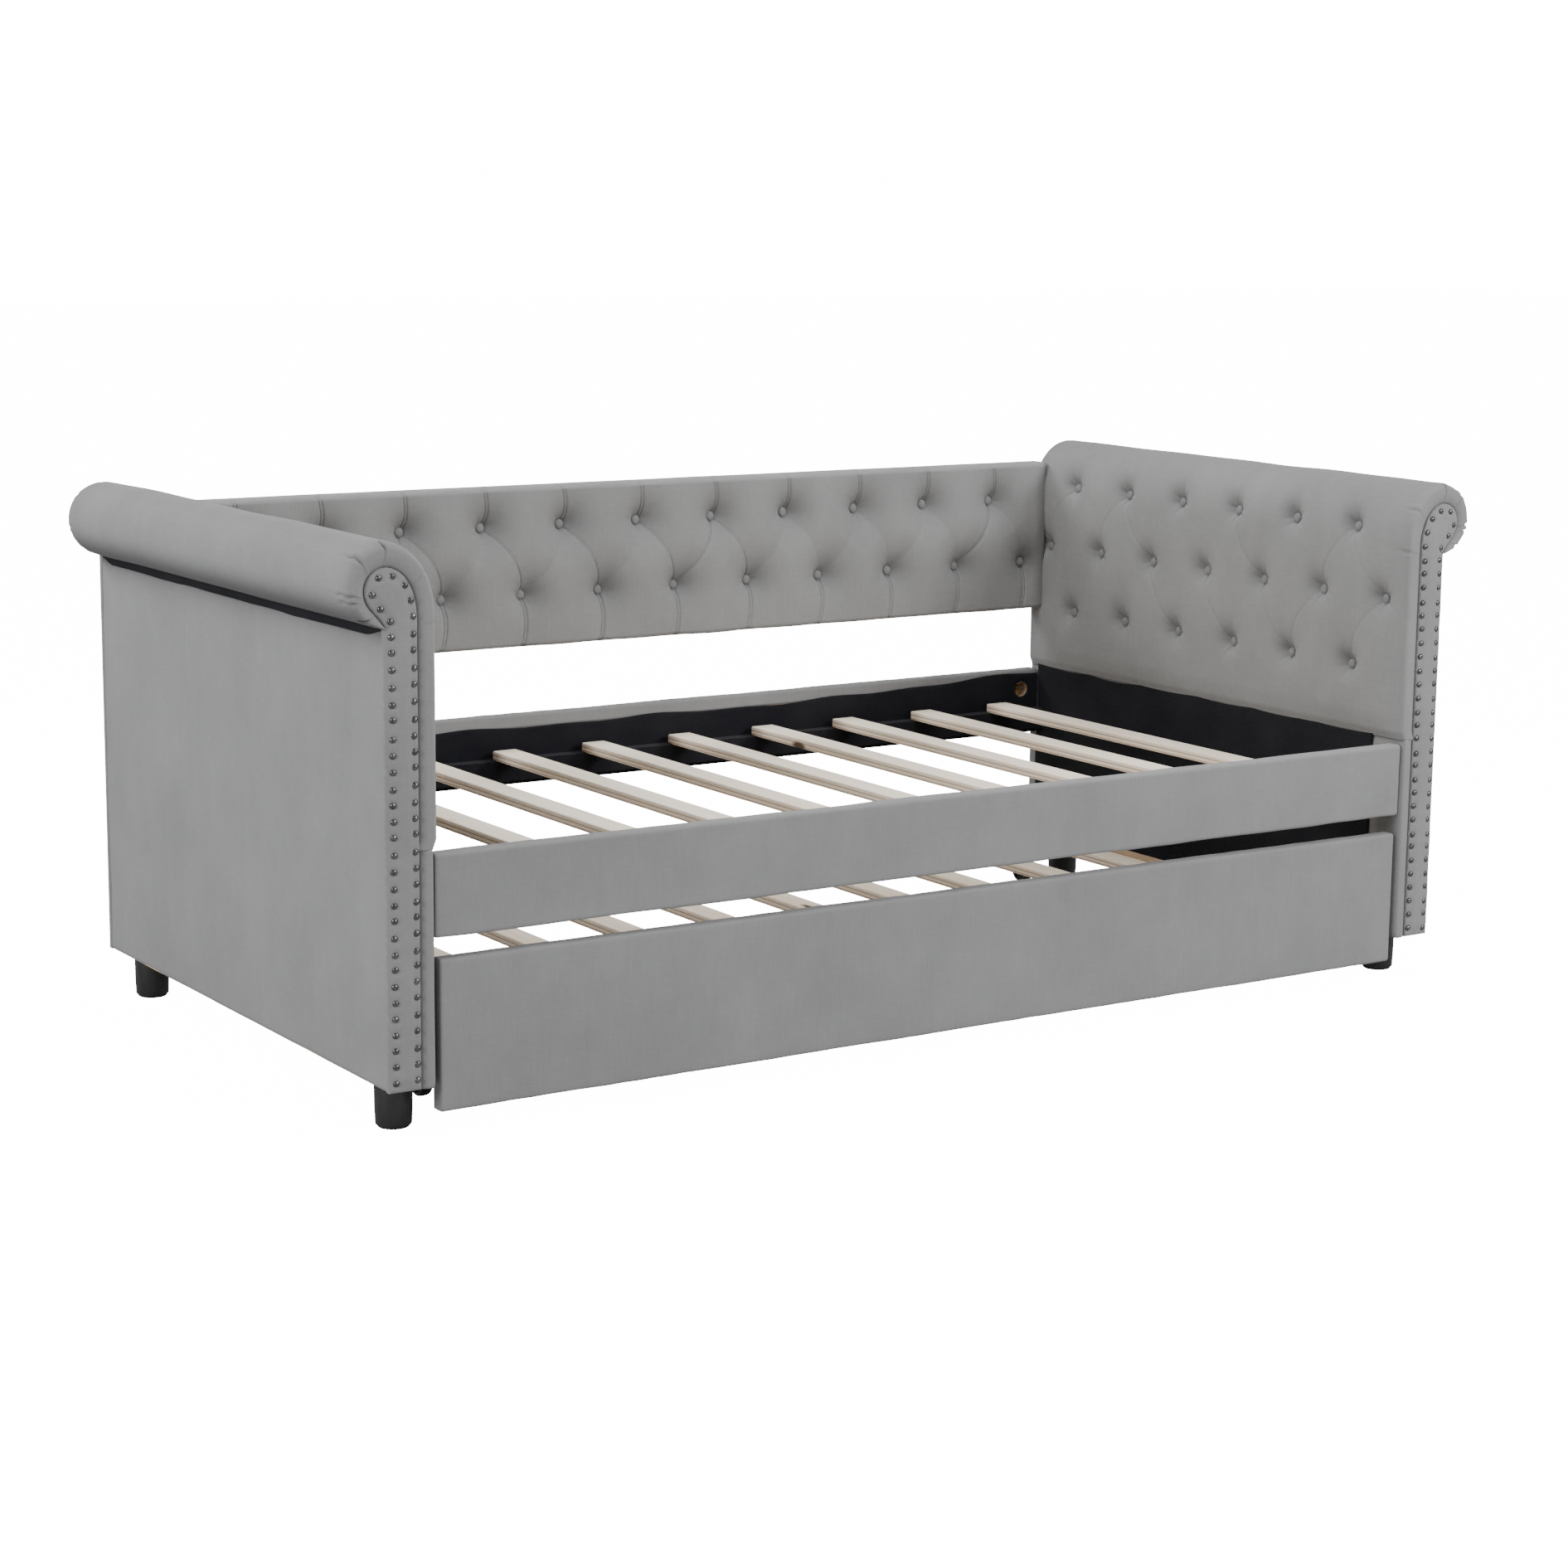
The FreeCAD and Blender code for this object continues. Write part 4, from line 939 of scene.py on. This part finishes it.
def back_upholstery():
    """Tufted front, rolled edges and plain rear of the back panel, as one padded cover."""
    tufts = back_tufting(6)
    half = BACK_HIGH.x + 0.0008                 # the ends cover the board's ends
    low, high = BACK_LOW.z, BACK_HIGH.z
    front, rear = BACK_LOW.y, REAR_HIGH.y
    columns = [np.linspace(-half, half, 560)]
    for x, z in tufts.buttons:
        columns.append(x + np.linspace(-0.014, 0.020, 38))
    columns = np.unique(np.round(np.clip(np.concatenate(columns), -half, half), 5))
    radius = 0.009
    bottom = quarter((front + radius, low + radius), (front + radius, low), (front, low + radius), 12)
    face = np.linspace((front, low + radius), (front, high - radius), 126)
    top = quarter((front + radius, high - radius), (front, high - radius), (front + radius, high), 12)
    over = np.linspace((front + radius, high), (rear - 0.006, high), 9)
    back_top = quarter((rear - 0.006, high - 0.006), (rear - 0.006, high), (rear, high - 0.006), 5)
    behind = np.linspace((rear, high - 0.006), (rear, low + 0.006), 9)
    back_low = quarter((rear - 0.006, low + 0.006), (rear, low + 0.006), (rear - 0.006, low), 5)
    under = np.linspace((rear - 0.006, low), (front + radius, low), 9)[:-1]
    path = joined([bottom, face, top, over, back_top, behind, back_low, under])
    normals = -path_normals(path)
    on_front = 1 - smoothstep(path[:, 0], front + radius * 0.9, front + radius * 1.6)
    x = np.broadcast_to(columns[:, None], (len(columns), len(path)))
    z = np.broadcast_to(path[:, 1], x.shape)
    ends = smoothstep(half - np.abs(x), 0, 0.03)
    swell = BACK_SWELL * np.sin(np.clip((z - low) / (high - low), 0, 1) * math.pi) * ends
    amount = (swell + tufts.height(x, z) * (0.35 + 0.65 * ends)) * on_front
    amount += (0.0002 + 0.0006 * on_front) * soft_noise(x, z, 71, 0.25) - 0.005 * (1 - ends) * on_front
    # painted shade: darker beside each button and along the panel's ends, where it meets the arms
    nap_and_painted_shade = (tufts.shade(x, z, 0.038, 0.44) + 0.8 * np.exp(-(half - np.abs(x)) / 0.005)) * on_front
    piece = make_piece("back_tufted_panel", loft(pushed(x, path, normals, amount)), VELVET, nap_and_painted_shade=nap_and_painted_shade)
    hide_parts("back_pad", "back_rear_cover")

    buttons = []
    for k, (along, height) in enumerate(tufts.buttons):
        sunk = tufts.height_at(along, height) + BACK_SWELL
        draw = np.random.default_rng(k + 400)
        aim = Vector((draw.uniform(-BUTTON_TILT, BUTTON_TILT), -1, draw.uniform(-BUTTON_TILT, BUTTON_TILT)))
        place = (along, front - sunk - BUTTON_SEAT, height)
        buttons.append(placed(button_shape(BUTTON_RADIUS, k + 300), place, aim))
    made = make_piece("back_covered_buttons", many(buttons), BUTTON_VELVET)
    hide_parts("back_buttons")


back_upholstery()


# ---------------------------------------------------------------- rails and trundle panel

def wrapped_board(name, low, high, body, seed, open_side, corner=0.006, inner_reach=0.026):
    """Velvet wrapped round a board along X: closed ends, rounded edges, turned in on the open side."""
    inside_y, outside_y = (high.y, low.y) if open_side > 0 else (low.y, high.y)
    z_low, z_high = low.z, high.z
    bend = outside_y + open_side * corner       # where the outer edges start to round
    turn = inside_y - open_side * 0.004         # where the inner edges start to round
    inner_y = inside_y + open_side * 0.0012     # the turned-in velvet stands proud of the board
    lower = quarter((bend, z_low + corner), (bend, z_low), (outside_y, z_low + corner), 6)
    face = np.linspace((outside_y, z_low + corner), (outside_y, z_high - corner), 40)
    upper = quarter((bend, z_high - corner), (outside_y, z_high - corner), (bend, z_high), 6)
    over = quarter((turn, z_high - 0.004), (turn, z_high), (inner_y, z_high - 0.004), 5)
    down = np.linspace((inner_y, z_high - 0.006), (inner_y, z_high - inner_reach), 6)
    under = quarter((turn, z_low + 0.004), (inner_y, z_low + 0.004), (turn, z_low), 5)
    rise = np.linspace((inner_y, z_low + inner_reach), (inner_y, z_low + 0.006), 6)
    outer = np.concatenate([rise, under, lower, face[1:-1], upper, over, down])
    centre = np.array([(outside_y + inside_y) / 2, (z_low + z_high) / 2])
    thin = 0.0022
    normals = path_normals(outer)
    if np.sum((outer - centre) * normals) < 0:
        normals = -normals
    columns = spans((low.x, low.x + 0.01, 5), (low.x + 0.02, high.x - 0.02, 170), (high.x - 0.01, high.x, 5))
    x = np.broadcast_to(columns[:, None], (len(columns), len(outer)))
    z = np.broadcast_to(outer[:, 1], x.shape)
    edge = rounded(x - low.x, corner) + rounded(high.x - x, corner)
    amount = 0.0007 * soft_noise(x, z, seed, 0.30) + 0.0003 * soft_noise(x, z, seed + 1, 0.08) - 0.0018 * edge
    skin = pushed(x, outer, normals, amount)
    lining = pushed(x, outer, normals, np.minimum(amount, 0) - thin)
    # the ends are covered too: each closes on the middle of the open face
    apex = np.array([inside_y, (z_low + z_high) / 2])
    caps = []
    for column, push in ((0, 1), (-1, -1)):
        rim = skin[column]
        shares = np.array([0.94, 0.6, 0.02])[:, None]
        flat = apex + (rim[None, :, 1:] - apex) * shares[:, :, None]
        caps.append([stacked(rim[0, 0] + inset, flat[..., 0], flat[..., 1]) for inset in (0, push * thin)])
    skin = np.concatenate([caps[0][0][::-1], skin, caps[1][0]])
    lining = np.concatenate([caps[0][1][::-1], lining, caps[1][1]])
    lining[3, :, 0] += thin
    lining[-4, :, 0] -= thin
    piece = make_piece(name, slab(skin, lining), VELVET, body=body)
    return piece


for end, open_side in (("front", 1), ("back", -1)):
    low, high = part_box(f"rail_{end}_cover")
    cover = wrapped_board(f"rail_{end}_velvet", low, high, "frame", 81 + open_side, open_side)
    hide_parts(f"rail_{end}_cover")

low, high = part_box("trundle_front_cover")
cover = wrapped_board("trundle_panel_velvet", low, high, "trundle", 91, 1)
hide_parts("trundle_front_cover")


def rail_lining():
    """Black cloth on the inside of the back rail: slack between its staples, with a window at each nut."""
    low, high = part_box("rail_back_lining")
    nut_low, nut_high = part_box("rail_nuts")
    window = 0.016
    nut_x = nut_high.x - 0.007
    nut_z = (nut_low.z + nut_high.z) / 2
    xs = np.linspace(low.x, high.x, 300)
    wave = 0.0022 * np.sin(xs * 15.0 + 0.7) + 0.0016 * np.sin(xs * 31.0)
    top = stacked(xs, high.z - 0.003 + wave + 0.016 * smoothstep(xs, 0.35, 0.96))
    foot = stacked(xs[::-1], low.z - 0.001)
    turn = np.linspace(0, 2 * math.pi, 28, endpoint=False)
    holes = [stacked(side * nut_x + window * np.cos(turn), nut_z + window * np.sin(turn))
             for side in SIDES.values()]
    flat, faces, edge = filled([np.concatenate([top, foot])] + holes, 0.007)
    x, z = flat[:, 0], flat[:, 1]
    off = 0.0034 + 0.0012 * (1 + soft_noise(x, z, 25, 0.14)) * smoothstep(edge, 0, 0.03)
    front, rear = (stacked(x, low.y + 0.001 - off + thick, z) for thick in (0, 0.0008))
    piece = make_piece("rail_black_lining", plate(front, rear, faces), BLACK_CLOTH)
    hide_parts("rail_back_lining")


rail_lining()


# ---------------------------------------------------------------- legs and casters

def leg(name):
    low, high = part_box(name)
    center = (low + high) / 2
    radius = (high.x - low.x) / 2
    height = high.z - low.z
    profile = [(0.0, 0.0), (radius * 0.80, 0.0), (radius * 0.84, 0.0012), (radius * 0.86, 0.004),
               (radius * 0.93, 0.0045), (radius * 0.955, 0.0065), (radius * 0.99, height * 0.45),
               (radius, height - 0.004), (radius * 0.98, height), (0.0, height)]
    points, faces = lathe(profile, 48)
    shape = points + np.array([center.x, center.y, low.z]), faces
    piece = make_piece(f"{name}_turned", shape, LEG_BLACK, sharp=0.6)
    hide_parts(name)


for corner in CORNERS:
    leg(f"leg_{corner}")


def caster_wheel(name):
    """A moulded wheel with a rounded tread, a recessed web and a hub."""
    low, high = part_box(name)
    center = (low + high) / 2
    radius = (high.z - low.z) / 2
    half = (high.x - low.x) / 2
    bore = 0.0043
    flank = [(bore, half), (0.0085, half), (0.0095, half * 0.45), (radius * 0.70, half * 0.42),
             (radius * 0.76, half * 0.92), (radius * 0.90, half), (radius * 0.975, half * 0.75),
             (radius, half * 0.35)]
    profile = [(r, -x) for r, x in flank] + flank[::-1]
    angles = np.linspace(0, 2 * math.pi, 48, endpoint=False)
    rings = np.array([stacked(x, r * np.cos(angles), r * np.sin(angles)) for r, x in profile])
    faces = grid_faces(len(profile), len(angles), wrap_rows=True, wrap_cols=True)
    piece = make_piece(f"{name}_moulded", (rings + np.array(center), faces), CASTER_BLACK,
                       body=f"{name}_body", sharp=0.7)
    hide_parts(name)


for corner in CORNERS:
    caster_wheel(f"caster_wheel_{corner}")


# ---------------------------------------------------------------- materials of the remaining CAD nodes

NODE_MATERIALS = {
    "slat_wood": SLAT_WOOD, "frame_wood": FRAME_WOOD, "steel": STEEL, "brass": BRASS, "velvet": VELVET,
    "black_cloth": BLACK_CLOTH, "antique_nail": NAIL_METAL, "leg_black": LEG_BLACK,
    "caster_black": CASTER_BLACK, "bracket_steel": BRACKET_BLACK,
}
for entry in frame["record"]["subparts"]:
    node = frame["nodes"][entry["node"]]
    node.data.materials.clear()
    node.data.materials.append(NODE_MATERIALS[entry["material_slot"]])


# ---------------------------------------------------------------- camera, lights and floor

def camera():
    """The daybed seen from its left front corner, from a little above."""
    yaw, pitch, roll = 0.5781, 0.1817, 0.0107
    forward = Vector((math.sin(yaw) * math.cos(pitch), math.cos(yaw) * math.cos(pitch), -math.sin(pitch)))
    right = Vector((math.cos(yaw), -math.sin(yaw), 0))
    up = right.cross(forward)
    tilted_right = math.cos(roll) * right + math.sin(roll) * up
    tilted_up = -math.sin(roll) * right + math.cos(roll) * up
    data = bpy.data.cameras.new("camera")
    data.sensor_width = 36
    data.lens = 75.70
    made = bpy.data.objects.new("camera", data)
    turn = Matrix((tilted_right, tilted_up, -forward)).transposed().to_4x4()
    made.matrix_world = Matrix.Translation((-3.1885, -4.893, 1.437)) @ turn
    bpy.context.scene.collection.objects.link(made)
    bpy.context.scene.camera = made


def area_light(name, place, target, width, height, power):
    data = bpy.data.lights.new(name, "AREA")
    data.shape = "RECTANGLE"
    data.size = width
    data.size_y = height
    data.energy = power
    made = bpy.data.objects.new(name, data)
    made.matrix_world = stood(place, Vector(target) - Vector(place), "-Z")
    bpy.context.scene.collection.objects.link(made)


def backdrop_glow(tree, kind, lit, seen):
    """A value that is `seen` to the camera and `lit` to everything else."""
    path = tree.nodes.new("ShaderNodeLightPath")
    made = tree.nodes.new("ShaderNodeMapRange")
    made.inputs["To Min"].default_value = lit
    made.inputs["To Max"].default_value = seen
    tree.links.new(path.outputs["Is Camera Ray"], made.inputs["Value"])
    tree.links.new(made.outputs["Result"], kind)


def studio():
    n = Nodes("floor_pale")
    n.set(Base_Color=n.ramp(n.noise(3.0, 2.0), [(0.3, 0.40), (0.7, 0.42)]), Roughness=0.9)
    n.shader.inputs["Emission Color"].default_value = (1, 1, 1, 1)
    backdrop_glow(n.tree, n.shader.inputs["Emission Strength"], 0.0, 15.4)
    mesh = bpy.data.meshes.new("floor")
    reach = 30.0
    mesh.from_pydata([(-reach, -reach, 0), (reach, -reach, 0), (reach, reach, 0), (-reach, reach, 0)], [],
                     [(0, 1, 2, 3)])
    floor = bpy.data.objects.new("floor", mesh)
    bpy.context.scene.collection.objects.link(floor)
    floor.data.materials.append(n.material)
    world = bpy.data.worlds.new("studio")
    bpy.context.scene.world = world
    world.use_nodes = True
    sky = world.node_tree.nodes["Background"]
    sky.inputs["Color"].default_value = (1, 1, 1, 1)
    backdrop_glow(world.node_tree, sky.inputs["Strength"], 0.46, 16.0)
    area_light("overhead", (0.3, -0.3, 3.4), (0, 0.1, 0.4), 2.8, 2.0, 84)
    area_light("key", (2.9, -4.0, 2.7), (0.1, 0.3, 0.6), 1.2, 1.2, 196)
    area_light("behind", (-2.6, 2.6, 2.9), (1.0, -0.1, 0.6), 1.3, 1.3, 98)
    area_light("front_fill", (1.0, -5.0, 1.7), (0.8, 0, 0.4), 2.6, 1.8, 58)
    area_light("side_fill", (-4.7, -0.9, 1.9), (0.2, 0, 0.5), 2.2, 1.6, 136)


camera()
studio()
